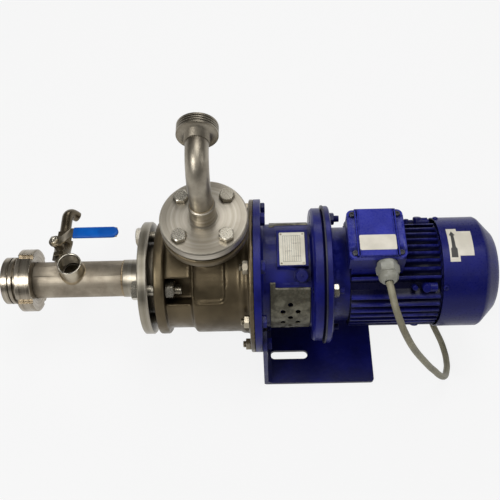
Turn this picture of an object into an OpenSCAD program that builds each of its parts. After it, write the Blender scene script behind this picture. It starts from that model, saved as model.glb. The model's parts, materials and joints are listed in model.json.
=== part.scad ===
// Close-coupled centrifugal pump with a flanged suction spool, a discharge spool,
// a drain valve, a lantern, a support foot and a finned flange motor.
// X runs from the suction end to the motor fan, Y to the rear, Z up.
// The origin is the centre of the foot's underside.

/* [Layout] */
// Height of the shaft above the floor
shaft_h = 132; // [128:1:150]
// Suction face to discharge axis
suction_a = 80; // [78:1:86]
// Shaft to the casing's discharge face
discharge_h = 143; // [138:1:155]
// Discharge axis to the joint of casing and lantern
joint_gap = 62; // [60:1:66]

/* [Foot] */
// Length of the foot's base plate
foot_l = 168; // [150:2:200]
// Width of the foot
foot_w = 240; // [232:2:260]
// Thickness of the bent plate
foot_t = 6; // [5:0.5:8]
// Radius of the cut-out that clears the lantern
foot_cut_r = 90; // [86:1:92]
// Width of the anchor slots
slot_w = 14; // [11:1:16]
// Length of the anchor slots
slot_l = 58; // [40:2:70]
// Distance of each slot from the middle
slot_y = 74; // [60:1:90]
// Distance of the slots from the upright plate
slot_inset = 4; // [4:1:12]
// Corner radius of the base plate
foot_corner_r = 5; // [2:1:10]

/* [Casing] */
// Outer radius of the volute
volute_r = 81; // [79:1:84]
// Wall of the volute
volute_wall = 7; // [6:0.5:8]
// Volute's front face to the discharge axis
volute_front = 25; // [24:1:28]
// Discharge axis to the volute's rear step
volute_rear = 43; // [41:1:46]
// Radius of the suction chamber
chamber_r = 74; // [71:1:76]
// Radius of the stepped collar behind the volute
collar_r = 84; // [83:1:86]
// Thickness of the casing's rear flange
casing_flange_t = 7; // [6:0.5:9]
// Radius of the casing and lantern flanges
joint_flange_r = 112; // [110:1:116]
// Radius of the bolt circle of that joint
joint_pcd_r = 100; // [98:0.5:102]
// Number of bolts in that joint
joint_bolts = 8; // [6:2:10]
// Width of the pockets for the suction nuts
pocket_w = 37; // [34:1:40]
// Depth of the panel below the discharge flange
panel_d = 5; // [3:0.5:5]
// Width of that panel
panel_w = 44; // [40:1:46]
// Height of the panel's lower edge above the shaft
panel_z = 44; // [40:1:50]
// Corner radius of the panel
panel_corner_r = 9; // [6:1:12]
// Outer radius of the discharge neck
neck_r = 24; // [22:1:26]

/* [Suction flanges] */
// Radius of the suction flanges
suction_flange_r = 82.5; // [80:0.5:85]
// Thickness of the casing's suction flange
suction_flange_t = 15; // [13:1:17]
// Thickness of the counter flange
counter_flange_t = 14; // [12:1:16]
// Radius of the suction bolt circle
suction_pcd_r = 62.5; // [61:0.5:64]
// Radius of the raised faces
suction_face_r = 49; // [46:1:51]
// Height of the raised faces
suction_face_h = 3; // [2:0.5:4]
// Bore radius of the suction side
suction_bore_r = 25; // [24:0.5:25]
// Thickness of both flange gaskets
gasket_t = 2; // [1.5:0.5:3]
// Thread radius of the suction bolts
suction_bolt_r = 8; // [7:0.5:8]
// Spanner size of the suction bolts
suction_af = 24; // [22:1:24]

/* [Suction spool] */
// Outer radius of the suction pipe
pipe_r = 26.5; // [26.5:0.5:27]
// Wall of the suction pipe
pipe_wall = 1.5; // [1.5:0.1:2]
// Length of the pipe from the flange's face
pipe_l = 169; // [160:1:190]
// Radius of the weld neck on the counter flange
weld_neck_r = 27.5; // [27.5:0.5:29]
// Length of the weld neck
weld_neck_l = 31; // [24:1:36]
// Outer radius of the gauge socket
socket_r = 15.5; // [15:0.5:17]
// Bore radius of the gauge socket
socket_bore_r = 12; // [11:0.5:12.5]
// Height of the gauge socket above the shaft
socket_h = 47.5; // [42:0.5:60]
// Gauge socket from the counter flange's face
socket_x = 103.5; // [90:1:106]

/* [Pipe union] */
// Outer radius of the union nut
union_nut_r = 46; // [44:1:48]
// Length of the union nut
union_nut_l = 22; // [20:1:24]
// Number of slots in the union nut
union_slots = 4; // [3:1:6]
// Width of the slots
union_slot_w = 9; // [6:1:12]
// Depth of the slots
union_slot_d = 5; // [3:0.5:6]
// Outer radius of the male piece
male_r = 34.5; // [34.5:0.5:37]
// Length of the male piece outside the nut
male_l = 24.5; // [20:0.5:30]
// Thread radius of the male piece
male_thread_r = 32.5; // [32:0.5:33]

/* [Drain valve] */
// Drain valve from the counter flange's face
valve_x = 131; // [128:1:132]
// Distance of the valve's stem behind the shaft line
valve_y = 50; // [49:1:54]
// Tilt of the stem towards the pipe's open end
stem_tilt = 9; // [0:1:12]
// Radius of the valve body
valve_r = 13; // [12.5:0.5:14]
// Length of the valve body
valve_l = 30; // [28:1:32]
// Bore radius of the valve
valve_bore_r = 5; // [4:0.5:5.5]
// Radius of the ball
ball_r = 9; // [8.5:0.5:9]
// Stem length above the valve's axis
stem_l = 37; // [36:1:40]
// Radius of the stem
stem_r = 3.5; // [3:0.5:4]
// Height of the lever's plate above the valve's axis
lever_z = 27; // [26:1:28]
// Width of the lever
lever_w = 15; // [13:1:17]
// Thickness of the lever
lever_t = 2.5; // [2:0.5:3]
// Rise of the lever to its grip
lever_rise = 17; // [14:1:20]
// Length of the blue sleeve
sleeve_l = 66; // [56:1:80]
// Wall of the blue sleeve
sleeve_wall = 1.6; // [1:0.2:2.4]
// Outer radius of the drain tube
drain_r = 7; // [6.5:0.5:8]
// Bend radius of the drain elbow
drain_bend_r = 15; // [13:1:20]
// Straight length of the drain tube
drain_l = 24; // [16:1:40]

/* [Discharge flanges and spool] */
// Radius of the discharge flanges
discharge_flange_r = 57.5; // [55:0.5:60]
// Thickness of the discharge flanges
discharge_flange_t = 13.5; // [12:0.5:16]
// Radius of the discharge bolt circle
discharge_pcd_r = 42.5; // [41:0.5:43]
// Radius of the discharge raised faces
discharge_face_r = 31; // [28:1:32]
// Height of the discharge raised faces
discharge_face_h = 1.5; // [1:0.5:3]
// Thread radius of the discharge bolts
discharge_bolt_r = 6; // [5:0.5:6]
// Spanner size of the discharge bolts
discharge_af = 18; // [16:1:19]
// Outer radius of the discharge pipe
riser_r = 14.5; // [13:0.5:15]
// Wall of the discharge pipe
riser_wall = 1.5; // [1.5:0.1:2]
// Radius of the discharge weld neck
riser_neck_r = 17; // [16:0.5:18]
// Length of the discharge weld neck
riser_neck_l = 30; // [20:1:36]
// Shaft to the axis of the discharge union
union_z = 260; // [250:1:290]
// Bend radius of the discharge pipe
riser_bend_r = 38; // [34:1:42]
// Shaft plane to the discharge union's front face
union_y = 51; // [50:1:60]
// Radius of the discharge union's thread
outlet_r = 26; // [24:0.5:28]
// Length of the discharge union
outlet_l = 14; // [12:1:18]

/* [Hydraulics and shaft] */
// Radius of the impeller
impeller_r = 62; // [58:1:68]
// Width of the impeller's outlet
impeller_b = 10; // [8:1:12]
// Thickness of the impeller's shrouds and vanes
shroud_t = 4; // [3:0.5:5]
// Number of vanes
vanes = 6; // [5:1:7]
// Radius of the impeller's eye hub
eye_r = 33; // [32:0.5:34]
// Radius of the pump shaft
pump_shaft_r = 12; // [11:0.5:12.5]
// Radius of the motor's shaft end
motor_shaft_r = 9.5; // [9:0.5:10]
// Running clearance between moving pieces
run_gap = 0.3; // [0.2:0.05:0.4]
// Clearance of pieces that are fitted together
fit_gap = 0.1; // [0.05:0.05:0.15]

/* [Lantern and guards] */
// Length of the lantern
lantern_l = 97.5; // [94:0.5:110]
// Radius of the lantern's body
lantern_r = 75; // [73:0.5:77]
// Wall of the lantern
lantern_wall = 8; // [7:0.5:9]
// Thickness of the lantern's pump flange
lantern_flange_t = 10; // [9:1:13]
// Radius of the lantern's motor flange
motor_side_r = 97; // [95:1:100]
// Thickness of the lantern's motor flange
motor_side_t = 16.5; // [14:0.5:18]
// Overlap of the guards above and below the windows
guard_cover = 12; // [8:1:16]
// Length of the guards
guard_l = 55; // [52:1:56]
// Gap between the front guard and the screw plug's boss
guard_plug_gap = 3; // [2:0.5:6]
// Thickness of the guards
guard_t = 1.6; // [1:0.1:2]
// Radius of the guards' holes
guard_hole_r = 3.7; // [3:0.1:4.2]
// Spacing of the guards' holes along the shaft
guard_pitch = 21; // [18:1:22]
// Width of the nameplate
plate_w = 39; // [34:1:40]
// Length of the nameplate
plate_l = 54; // [50:1:56]
// Radius of the lantern's screw plug
plug_r = 8; // [7:0.5:9]

/* [Motor] */
// Radius of the motor's flange
motor_flange_r = 100; // [98:1:102]
// Thickness of the motor's flange
motor_flange_t = 8; // [7:0.5:10]
// Radius of the motor flange's spigot
spigot_r = 65; // [64:0.5:65.5]
// Radius of the motor flange's bolt circle
motor_pcd_r = 82.5; // [82:0.5:84]
// Radius of the drive-end shield
shield_r = 68; // [67:0.5:70]
// Length of the drive-end shield behind its flange
shield_l = 25; // [22:1:28]
// Length of the finned frame
frame_l = 124; // [118:1:134]
// Radius over the fins
fin_r = 76.5; // [75:0.5:77]
// Radius at the fins' roots
frame_r = 67; // [66.5:0.5:69]
// Radius of the stator core
stator_r = 62.5; // [61:0.5:63]
// Radius of the rotor
rotor_r = 36; // [33:0.5:38]
// Thickness of a fin
fin_t = 2.6; // [2:0.2:3.4]
// Spacing of the fins
fin_pitch = 10.6; // [9.4:0.2:12]
// Radius of the fan cover
cover_r = 79; // [78.5:0.5:81]
// Length of the fan cover
cover_l = 82; // [78:1:90]
// Length of the fan cover's taper
cover_taper_l = 21; // [16:1:26]
// Radius at the end of the taper
cover_end_r = 57; // [55:1:62]
// Thickness of the fan cover's sheet
cover_t = 1.5; // [1.2:0.1:2]

/* [Terminal box] */
// Width of the terminal box's lid
lid_w = 76; // [74:1:80]
// Height of the lid's top above the shaft
lid_z = 114; // [112:1:120]
// Thickness of the lid
lid_t = 10; // [8:1:11]
// Height of the frame's pad under the box
pad_z = 80; // [79:1:81]
// Wall of the terminal box
box_wall = 4; // [3.5:0.5:5]
// Height of the cable gland above the shaft
gland_z = 95; // [94:1:97]
// Spanner size of the cable gland
gland_af = 30; // [27:1:30]
// Length of the cable gland outside the box
gland_l = 29; // [26:1:32]

/* [Cable] */
// Diameter of the motor cable
cable_d = 9.5; // [9:0.5:9.5]
// Outer radius of the coil at the middle of the cable
coil_r = 64; // [64:1:66]
// Spacing of neighbouring turns
coil_pitch = 11.5; // [11.5:0.5:12]
// Spacing of the coil's layers
layer_pitch = 10.5; // [10.5:0.5:11]

/* [Hidden] */

// One overrun serves every cut
over = 1;
// Chamfer on machined rims
edge = 1.5;
// Facets of large and small round surfaces
fine = 96;
small = 40;

// Stations along the shaft
x_upright = -foot_l/2;
x_joint = x_upright - lantern_flange_t;
x_dis = x_joint - joint_gap;
x_suc = x_dis - suction_a;
x_counter = x_suc - gasket_t;
x_volute = x_dis - volute_front;
x_collar = x_dis + volute_rear;
x_rear = x_joint - casing_flange_t;
x_flange_back = x_suc + suction_face_h + suction_flange_t;
x_spool = x_counter - suction_face_h - counter_flange_t;
x_pipe_end = x_spool - pipe_l;
x_motor_side = x_joint + lantern_l;
x_motor = x_motor_side + gasket_t;
x_shield_back = x_motor + motor_flange_t + shield_l;
x_frame_end = x_shield_back + frame_l;
x_cover = x_frame_end + edge;
x_cover_end = x_cover + cover_l;

// Clearance around bolts in their holes
hole_gap = 0.6;
// Clearance where a shaft passes through a wall
bore_gap = 1;
// Small chamfers, steps and overlaps of joined shapes
chamfer = 1;
lap = 1;

// Inside the casing
cover_plate_t = 6;
register_gap = 1.5;
front_gap = 4.2;
rear_gap = 11;
register_step = 2;
seal_room = 10;
shell_t = 5;
eye_l = 9;
passage_wall = 5;
x_cavity = x_dis - impeller_b/2 - shroud_t - front_gap;
x_eye = x_cavity - eye_l;
x_register = x_dis + impeller_b/2 + shroud_t + rear_gap;
cavity_r = volute_r - volute_wall;
register_r = cavity_r + register_step;
hub_share = 1.5;
hub_r = pump_shaft_r*hub_share;
seal_r = pump_shaft_r + seal_room;
neck_base = cavity_r - panel_d/2;

// A solid turned about the shaft from points of radius and station
module turned(points, sides = fine) rotate([0, 90, 0]) rotate_extrude($fn = sides) polygon(points);
module rod(x0, x1, r, sides = small)
    translate([x0, 0, 0]) rotate([0, 90, 0]) cylinder(h = x1 - x0, r = r, $fn = sides);
module hexagon(x0, x1, af) rod(x0, x1, af/sqrt(3), 6);
module circle_of(count, start, r)
    for (i = [0:count - 1]) rotate([start + i*360/count, 0, 0]) translate([0, r, 0]) children();
module at_shaft() translate([0, 0, shaft_h]) children();
module at_discharge(z) translate([x_dis, 0, shaft_h + z]) children();
function tube(r0, r1, x0, x1) = [[r0, x0], [r1, x0], [r1, x1], [r0, x1]];

stainless = "#8a8068";
steel = "#9c9788";
blue = "#1c1f78";
rubber = "#1a1a1a";

joint_bolt_r = 5;
joint_af = 16;
joint_head = 6.4;
joint_nut = 8;
joint_angle = 180/joint_bolts;

module volute_casing() color(stainless) at_shaft() difference() {
    casing_body();
    for (s = [-1, 1]) panel_cut(s);
    casing_passages();
    neck_seat();
    circle_of(4, 45, 0) suction_pocket();
    circle_of(4, 45, suction_pcd_r)
        rod(x_suc, x_flange_back + over, suction_bolt_r + hole_gap, small);
}
module casing_body() turned([[0, x_suc], [suction_face_r, x_suc], [suction_face_r, x_suc + suction_face_h],
            [suction_flange_r - edge, x_suc + suction_face_h],
            [suction_flange_r, x_suc + suction_face_h + edge],
            [suction_flange_r, x_flange_back - edge], [suction_flange_r - edge, x_flange_back],
            [chamber_r, x_flange_back], [chamber_r, x_volute], [volute_r - 2*edge, x_volute],
            [volute_r, x_volute + 2*edge], [volute_r, x_collar], [collar_r - edge, x_collar],
            [collar_r, x_collar + edge], [collar_r, x_rear], [0, x_rear]]);
module casing_passages() turned([[0, x_suc - over], [suction_bore_r, x_suc - over],
        [suction_bore_r, x_flange_back],
        [suction_pcd_r - pocket_w/2 - passage_wall, x_flange_back + passage_wall],
        [suction_pcd_r - pocket_w/2 - passage_wall, x_volute - passage_wall], [eye_r, x_volute],
        [eye_r, x_eye], [eye_r + run_gap, x_eye], [eye_r + run_gap, x_cavity], [cavity_r, x_cavity],
        [cavity_r, x_register], [register_r, x_register], [register_r, x_joint + over], [0, x_joint + over]]);
// Flange ring on the casing's rear end
module casing_flange() color(stainless) at_shaft() difference() {
    turned([[register_r, x_rear], [joint_flange_r - edge/2, x_rear],
        [joint_flange_r, x_rear + edge/2], [joint_flange_r, x_joint], [register_r, x_joint]]);
    circle_of(joint_bolts, joint_angle, joint_pcd_r)
        rod(x_rear - over, x_joint + over, joint_bolt_r + hole_gap, small);
}
// Discharge neck with its flange, set into the volute
module neck_seat() translate([x_dis, 0, 0]) {
    translate([0, 0, neck_base]) cylinder(h = discharge_h, r = neck_r, $fn = fine);
    translate([0, 0, neck_base - volute_wall])
        cylinder(h = discharge_h, r = riser_r - riser_wall, $fn = fine);
}
module discharge_neck() color(stainless) at_shaft() difference() {
    translate([x_dis, 0, 0]) {
        translate([0, 0, neck_base]) cylinder(h = discharge_h - neck_base - discharge_face_h - edge,
            r = neck_r, $fn = fine);
        rotate_extrude($fn = fine) polygon(discharge_flange_points(discharge_h, -1));
    }
    rod(x_cavity, x_register, cavity_r, fine);
    rod(x_register, x_joint, register_r, fine);
    translate([x_dis, 0, neck_base - volute_wall])
        cylinder(h = discharge_h, r = riser_r - riser_wall, $fn = fine);
    for (i = [0:3]) translate([x_dis, 0, discharge_h/2]) rotate([0, 0, 45 + i*90])
        translate([discharge_pcd_r, 0, 0])
            cylinder(h = discharge_h, r = discharge_bolt_r + hole_gap, $fn = small);
}
function discharge_flange_points(z, way) = [[0, z + way*(discharge_face_h + discharge_flange_t)],
    [discharge_flange_r - edge, z + way*(discharge_face_h + discharge_flange_t)],
    [discharge_flange_r, z + way*(discharge_face_h + discharge_flange_t - edge)],
    [discharge_flange_r, z + way*(discharge_face_h + edge)],
    [discharge_flange_r - edge, z + way*discharge_face_h],
    [discharge_face_r, z + way*discharge_face_h], [discharge_face_r, z], [0, z]];
// Pocket behind the suction flange, where a nut can be turned
module suction_pocket()
    translate([x_flange_back, suction_pcd_r - pocket_w/2, -pocket_w/2])
        cube([x_volute - x_flange_back, pocket_w + suction_flange_r, pocket_w]);
// Sunk panel on the volute's side, with rounded lower corners
module panel_cut(side) intersection() {
    difference() {
        rod(x_volute, x_collar, volute_r + volute_wall, fine);
        rod(x_volute - over, x_collar + over, volute_r - panel_d, fine);
    }
    rotate([90, 0, 0]) translate([x_dis, 0, side > 0 ? -volute_r - panel_d : 0])
        linear_extrude(height = volute_r + panel_d) {
            for (s = [-1, 1]) translate([s*(panel_w/2 - panel_corner_r), panel_z + panel_corner_r])
                circle(r = panel_corner_r, $fn = small);
            translate([-panel_w/2, panel_z + panel_corner_r]) square([panel_w, volute_r]);
            translate([panel_corner_r - panel_w/2, panel_z])
                square([panel_w - 2*panel_corner_r, volute_r]);
        }
}

// Cup-shaped cover that closes the casing, and the housing of the shaft seal in its middle
hub_wall = 7;
hub_reach = 22;
x_hub = x_joint + hub_reach;
x_cup = x_register + register_gap;
housing_r = seal_r + hub_wall;
module casing_cover() color(stainless) at_shaft()
    turned([[housing_r + fit_gap, x_cup], [register_r - fit_gap, x_cup], [register_r - fit_gap, x_joint],
        [register_r - hub_wall, x_joint], [register_r - hub_wall, x_cup + cover_plate_t],
        [housing_r + fit_gap, x_cup + cover_plate_t]]);
module seal_housing() color(stainless) at_shaft()
    turned([[seal_r, x_cup], [housing_r, x_cup], [housing_r, x_hub], [pump_shaft_r + bore_gap, x_hub],
        [pump_shaft_r + bore_gap, x_hub - cover_plate_t], [seal_r, x_hub - cover_plate_t]]);
module casing_gasket() color("#3b3f38") at_shaft()
    turned(tube(cavity_r + fit_gap, register_r - fit_gap, x_register, x_register + register_gap));

x_back_shroud = x_dis + impeller_b/2;
x_front_shroud = x_dis - impeller_b/2;
hub_l = 12;
vane_share = 0.68;
vane_t_share = 0.75;
vane_t = shroud_t*vane_t_share;
vane_offset_share = 0.48;
vane_r = impeller_r*vane_share;
vane_offset = impeller_r*vane_offset_share;
vane_turn = 155;
vane_sweep = 76;
module impeller() color(steel) at_shaft() {
    turned([[eye_r - shell_t, x_cavity - shell_t], [eye_r - fit_gap, x_cavity - shell_t],
        [eye_r - fit_gap, x_front_shroud - shroud_t], [impeller_r, x_front_shroud - shroud_t],
        [impeller_r, x_front_shroud], [eye_r - shell_t, x_front_shroud]]);
    turned([[pump_shaft_r - edge - fit_gap, x_back_shroud], [impeller_r, x_back_shroud],
        [impeller_r, x_back_shroud + shroud_t], [hub_r, x_back_shroud + shroud_t],
        [hub_r, x_back_shroud + hub_l], [pump_shaft_r - edge - fit_gap, x_back_shroud + hub_l]]);
    for (i = [0:vanes - 1]) rotate([i*360/vanes, 0, 0]) vane();
}
module vane() translate([x_front_shroud - lap, vane_offset, 0]) rotate([0, 90, 0]) rotate([0, 0, vane_turn])
    rotate_extrude(angle = vane_sweep, $fn = fine)
        translate([vane_r, 0]) square([vane_t, impeller_b + 2*lap]);
nut_r = 9;
module impeller_nut() color(steel) at_shaft() difference() {
    union() {
        hexagon(x_back_shroud - nut_r, x_back_shroud - fit_gap, 2*nut_r);
        turned([[0, x_back_shroud - 2*nut_r], [nut_r/2, x_back_shroud - 2*nut_r],
            [nut_r - chamfer, x_back_shroud - 3*nut_r/2], [nut_r - chamfer, x_back_shroud - nut_r],
            [0, x_back_shroud - nut_r]], small);
    }
    rod(x_back_shroud - 3*nut_r/2, x_back_shroud + over, nut_r/2 + fit_gap, small);
}
module seal_seat() color("#d8d4c8") at_shaft()
    turned(tube(pump_shaft_r + bore_gap, seal_r - fit_gap, x_seal, x_hub - cover_plate_t));
x_seal = x_hub - 2*cover_plate_t;
seal_head_gap = 3;
module seal_head() color("#5c5c60") at_shaft()
    turned([[pump_shaft_r + fit_gap/2, x_joint - cover_plate_t],
        [seal_r - seal_head_gap, x_joint - cover_plate_t],
        [seal_r - seal_head_gap, x_seal - cover_plate_t],
        [seal_r - seal_head_gap - chamfer, x_seal - fit_gap],
        [pump_shaft_r + fit_gap/2, x_seal - fit_gap]]);

// Pump shaft that is sleeved over the motor's shaft end and clamped there
shaft_end_l = 40;
sleeve_r = 17;
x_shaft_end = x_motor - shaft_end_l;
x_sleeve = x_shaft_end - shell_t;
clamp_r = 5;
clamp_h = 22;
module stub_shaft() color(steel) at_shaft() difference() {
    union() {
        turned([[0, x_back_shroud - 3*nut_r/2 + chamfer], [nut_r/2, x_back_shroud - 3*nut_r/2 + chamfer],
            [nut_r/2, x_back_shroud], [pump_shaft_r - edge - 2*fit_gap, x_back_shroud],
            [pump_shaft_r - edge - 2*fit_gap, x_back_shroud + hub_l], [pump_shaft_r, x_back_shroud + hub_l],
            [pump_shaft_r, x_sleeve], [sleeve_r, x_sleeve], [sleeve_r, x_motor - shell_t],
            [0, x_motor - shell_t]]);
        translate([(x_shaft_end + x_motor)/2, 0, 0])
            cylinder(h = 2*clamp_h, r = clamp_r, center = true, $fn = small);
    }
    rod(x_shaft_end - over, x_motor, motor_shaft_r + fit_gap/2, fine);
}

joint_tail = 4;
// The lower bolts also hold the foot, so their heads stand further out
module joint_bolt(lift) {
    hexagon(x_upright + lift, x_upright + lift + joint_head, joint_af);
    rod(x_rear - joint_nut - joint_tail, x_upright + lift, joint_bolt_r, small);
}
module casing_bolts() color(blue) at_shaft() for (i = [0:joint_bolts - 1])
    rotate([joint_angle + i*360/joint_bolts, 0, 0]) translate([0, joint_pcd_r, 0])
        joint_bolt(i < joint_bolts/2 ? 0 : foot_t);
module casing_nuts() color(steel) at_shaft() circle_of(joint_bolts, joint_angle, joint_pcd_r)
    difference() {
        hexagon(x_rear - joint_nut, x_rear, joint_af);
        rod(x_rear - joint_nut - over, x_rear + over, joint_bolt_r + fit_gap, small);
    }

// Lantern: the open ring that carries the motor
guard_lap = 6;
guard_inset = 12;
window_l = guard_l - 2*guard_lap;
x_guard = x_joint + lantern_flange_t + guard_inset;
x_window = x_guard + (guard_l - window_l)/2;
pad_margin = 2;
boss_wall = 2.5;
boss_h = 4;
boss_gap = 1;
plug_rim = 2;
boss_r = plug_r + boss_wall;
// The boss clears the nameplate's pad, the guards clear the boss, and they overlap the windows
boss_angle = 90 - atan((plate_l/2 + pad_margin)/lantern_r) - asin((boss_r + boss_gap)/lantern_r);
guard_angle = boss_angle - asin((boss_r + guard_plug_gap)/lantern_r);
guard_h = lantern_r*sin(guard_angle);
window_h = guard_h - guard_cover;
boss_top = lantern_r + boss_h;
x_boss = x_guard + guard_l - boss_r - boss_gap;
name_pad_h = 2;
module lantern() color(blue) at_shaft() difference() {
    union() {
        turned([[lantern_r - lantern_wall, x_joint], [joint_flange_r, x_joint],
            [joint_flange_r, x_upright - edge/2], [joint_flange_r - edge/2, x_upright],
            [lantern_r + 2*edge, x_upright], [lantern_r, x_upright + 2*edge],
            [lantern_r, x_motor_side - motor_side_t - 2*edge],
            [lantern_r + 2*edge, x_motor_side - motor_side_t],
            [motor_side_r - 2*edge, x_motor_side - motor_side_t],
            [motor_side_r, x_motor_side - motor_side_t + 2*edge],
            [motor_side_r, x_motor_side - 2*edge], [motor_side_r - 2*edge, x_motor_side],
            [spigot_r + fit_gap, x_motor_side], [spigot_r + fit_gap, x_motor_side - motor_side_t],
            [lantern_r - lantern_wall, x_motor_side - motor_side_t]]);
        translate([x_plate - pad_margin, -plate_l/2 - pad_margin, lantern_r - lantern_wall])
            cube([plate_w + 2*pad_margin, plate_l + 2*pad_margin, lantern_wall + name_pad_h]);
        rotate([90 - boss_angle, 0, 0]) translate([x_boss, 0, lantern_r - lantern_wall + lap])
            cylinder(h = boss_top - lantern_r + lantern_wall - lap, r = boss_r, $fn = small);
    }
    translate([x_window, -lantern_r - over, -window_h]) cube([window_l, 2*(lantern_r + over), 2*window_h]);
    rotate([90 - boss_angle, 0, 0]) translate([x_boss, 0, lantern_r - 2*lantern_wall])
        cylinder(h = 4*lantern_wall, r = plug_r - plug_rim, $fn = small);
    circle_of(joint_bolts, joint_angle, joint_pcd_r)
        rod(x_joint - over, x_upright + over, joint_bolt_r + hole_gap, small);
    circle_of(4, 45, motor_pcd_r)
        rod(x_motor_side - motor_side_t - over, x_motor_side + over, joint_bolt_r + hole_gap, small);
}
// Guards: curved plates over both windows, with staggered holes
guard_gap = fit_gap;
guard_rows = 3;
guard_row_angle = 9.4;
ear_l = 7;
module guard(side) color("#6c6a5a") at_shaft() difference() {
    intersection() {
        turned(tube(lantern_r + guard_gap, lantern_r + guard_gap + guard_t, x_guard, x_guard + guard_l));
        union() {
            translate([x_guard, side > 0 ? 0 : -2*lantern_r, -guard_h])
                cube([guard_l, 2*lantern_r, 2*guard_h - guard_t]);
            translate([x_guard, side > 0 ? 0 : -2*lantern_r, -guard_h])
                cube([ear_l, 2*lantern_r, 2*guard_h + 2*guard_t]);
        }
    }
    for (row = [-guard_rows:guard_rows]) guard_row(side, row);
}
module guard_row(side, row) {
    offsets = row % 2 == 0 ? [-guard_pitch/2, guard_pitch/2] : [0];
    for (x = offsets) translate([x_guard + guard_l/2 + x, 0, 0])
        rotate([side*(row*guard_row_angle - 90), 0, 0])
            cylinder(h = lantern_r + 2*lantern_wall, r = guard_hole_r, $fn = small);
}
module guard_front() guard(-1);
module guard_rear() guard(1);
module lantern_plug() color(blue) at_shaft() rotate([90 - boss_angle, 0, 0])
    translate([x_boss, 0, boss_top]) {
        cylinder(h = plug_r/2, r1 = plug_r, r2 = plug_r - chamfer, $fn = small);
        translate([0, 0, -plug_r]) cylinder(h = plug_r, r = plug_r - plug_rim - fit_gap, $fn = small);
    }
plate_t = 0.8;
rivet_r = 1.4;
rivet_inset = 3.5;
x_plate = x_guard + guard_l - plate_w - 2*pad_margin;
module nameplate() color("ivory") at_shaft() translate([x_plate, -plate_l/2, lantern_r + name_pad_h]) {
    cube([plate_w, plate_l, plate_t]);
    for (x = [rivet_inset, plate_w - rivet_inset]) for (y = [rivet_inset, plate_l - rivet_inset])
        translate([x, y, plate_t/2])
            cylinder(h = plate_t/2 + rivet_r/2, r1 = rivet_r, r2 = rivet_r/2, $fn = small);
}

// Foot: one bent plate with an upright, a base and two slots
module foot() color(blue) difference() {
    translate([0, foot_w/2, 0]) rotate([90, 0, 0]) linear_extrude(height = foot_w)
        polygon([[x_upright + foot_t/2, 0], [foot_l/2, 0], [foot_l/2, foot_t],
            [x_upright + 2*foot_t, foot_t], [x_upright + foot_t, 2*foot_t],
            [x_upright + foot_t, shaft_h], [x_upright, shaft_h], [x_upright, foot_t/2]]);
    at_shaft() rod(x_upright - over, x_upright + foot_t + over, foot_cut_r, fine);
    at_shaft() circle_of(joint_bolts, joint_angle, joint_pcd_r)
        rod(x_upright - over, x_upright + foot_t + over, joint_bolt_r + hole_gap, small);
    for (s = [-1, 1]) translate([x_slot, s*slot_y, 0]) slot_cut();
    for (s = [-1, 1]) translate([foot_l/2, s*foot_w/2, 0]) corner_cut(s);
}
x_slot = x_upright + foot_t + slot_inset;
module slot_cut() {
    for (x = [slot_w/2, slot_l - slot_w/2]) translate([x, 0, -over])
        cylinder(h = foot_t + 2*over, r = slot_w/2, $fn = small);
    translate([slot_w/2, -slot_w/2, -over]) cube([slot_l - slot_w, slot_w, foot_t + 2*over]);
}
module corner_cut(side) difference() {
    translate([-foot_corner_r, side > 0 ? -foot_corner_r : -over, -over])
        cube([foot_corner_r + over, foot_corner_r + over, foot_t + 2*over]);
    translate([-foot_corner_r, -side*foot_corner_r, -2*over])
        cylinder(h = foot_t + 4*over, r = foot_corner_r, $fn = small);
}

// Suction side
suction_head = 10;
suction_nut = 13;
suction_tail = 10;
// Gaskets of the suction and the discharge flanges
module flange_gaskets() color("#3b3f38") {
    at_shaft() turned(tube(suction_bore_r + fit_gap, suction_face_r, x_counter, x_suc));
    at_discharge(discharge_h) rotate_extrude($fn = fine)
        translate([riser_r, 0]) square([discharge_face_r - riser_r, gasket_t]);
}
module suction_bolts() color(steel) at_shaft() circle_of(4, 45, suction_pcd_r) {
    hexagon(x_spool - suction_head, x_spool, suction_af);
    rod(x_spool, x_flange_back + suction_nut + suction_tail, suction_bolt_r, small);
}
module suction_nuts() color("silver") at_shaft() circle_of(4, 45, suction_pcd_r) difference() {
    hexagon(x_flange_back, x_flange_back + suction_nut, suction_af);
    rod(x_flange_back - over, x_flange_back + suction_nut + over, suction_bolt_r + fit_gap, small);
}
// Suction spool: a counter flange, a pipe with a weld neck and a liner, a gauge socket and a drain nipple
liner_t = 6;
liner_gap = 1;
liner_r = male_thread_r - liner_gap;
nipple_r = 9;
y_valve_face = valve_y - valve_l/2;
x_valve = x_spool - valve_x;
x_socket = x_spool - socket_x;
module counter_flange() color(steel) at_shaft() difference() {
    turned([[weld_neck_r, x_counter - suction_face_h], [weld_neck_r, x_spool],
        [suction_flange_r - edge, x_spool], [suction_flange_r, x_spool + edge],
        [suction_flange_r, x_counter - suction_face_h - edge],
        [suction_flange_r - edge, x_counter - suction_face_h]]);
    circle_of(4, 45, suction_pcd_r) rod(x_spool - over, x_counter + over, suction_bolt_r + hole_gap, small);
}
module suction_pipe() color("#8f8774") at_shaft() difference() {
    turned([[pipe_r - pipe_wall, x_counter], [suction_face_r, x_counter],
        [suction_face_r, x_counter - suction_face_h], [weld_neck_r, x_counter - suction_face_h],
        [weld_neck_r, x_spool - weld_neck_l + chamfer], [pipe_r, x_spool - weld_neck_l],
        [pipe_r, x_pipe_end + liner_t], [liner_r, x_pipe_end + liner_t],
        [liner_r, x_pipe_end], [pipe_r - pipe_wall, x_pipe_end]]);
    translate([x_socket, 0, 0]) cylinder(h = socket_h, r = socket_bore_r, $fn = small*2);
    translate([x_valve, 0, 0]) rotate([-90, 0, 0]) cylinder(h = y_valve_face, r = valve_bore_r, $fn = small);
}
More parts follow.
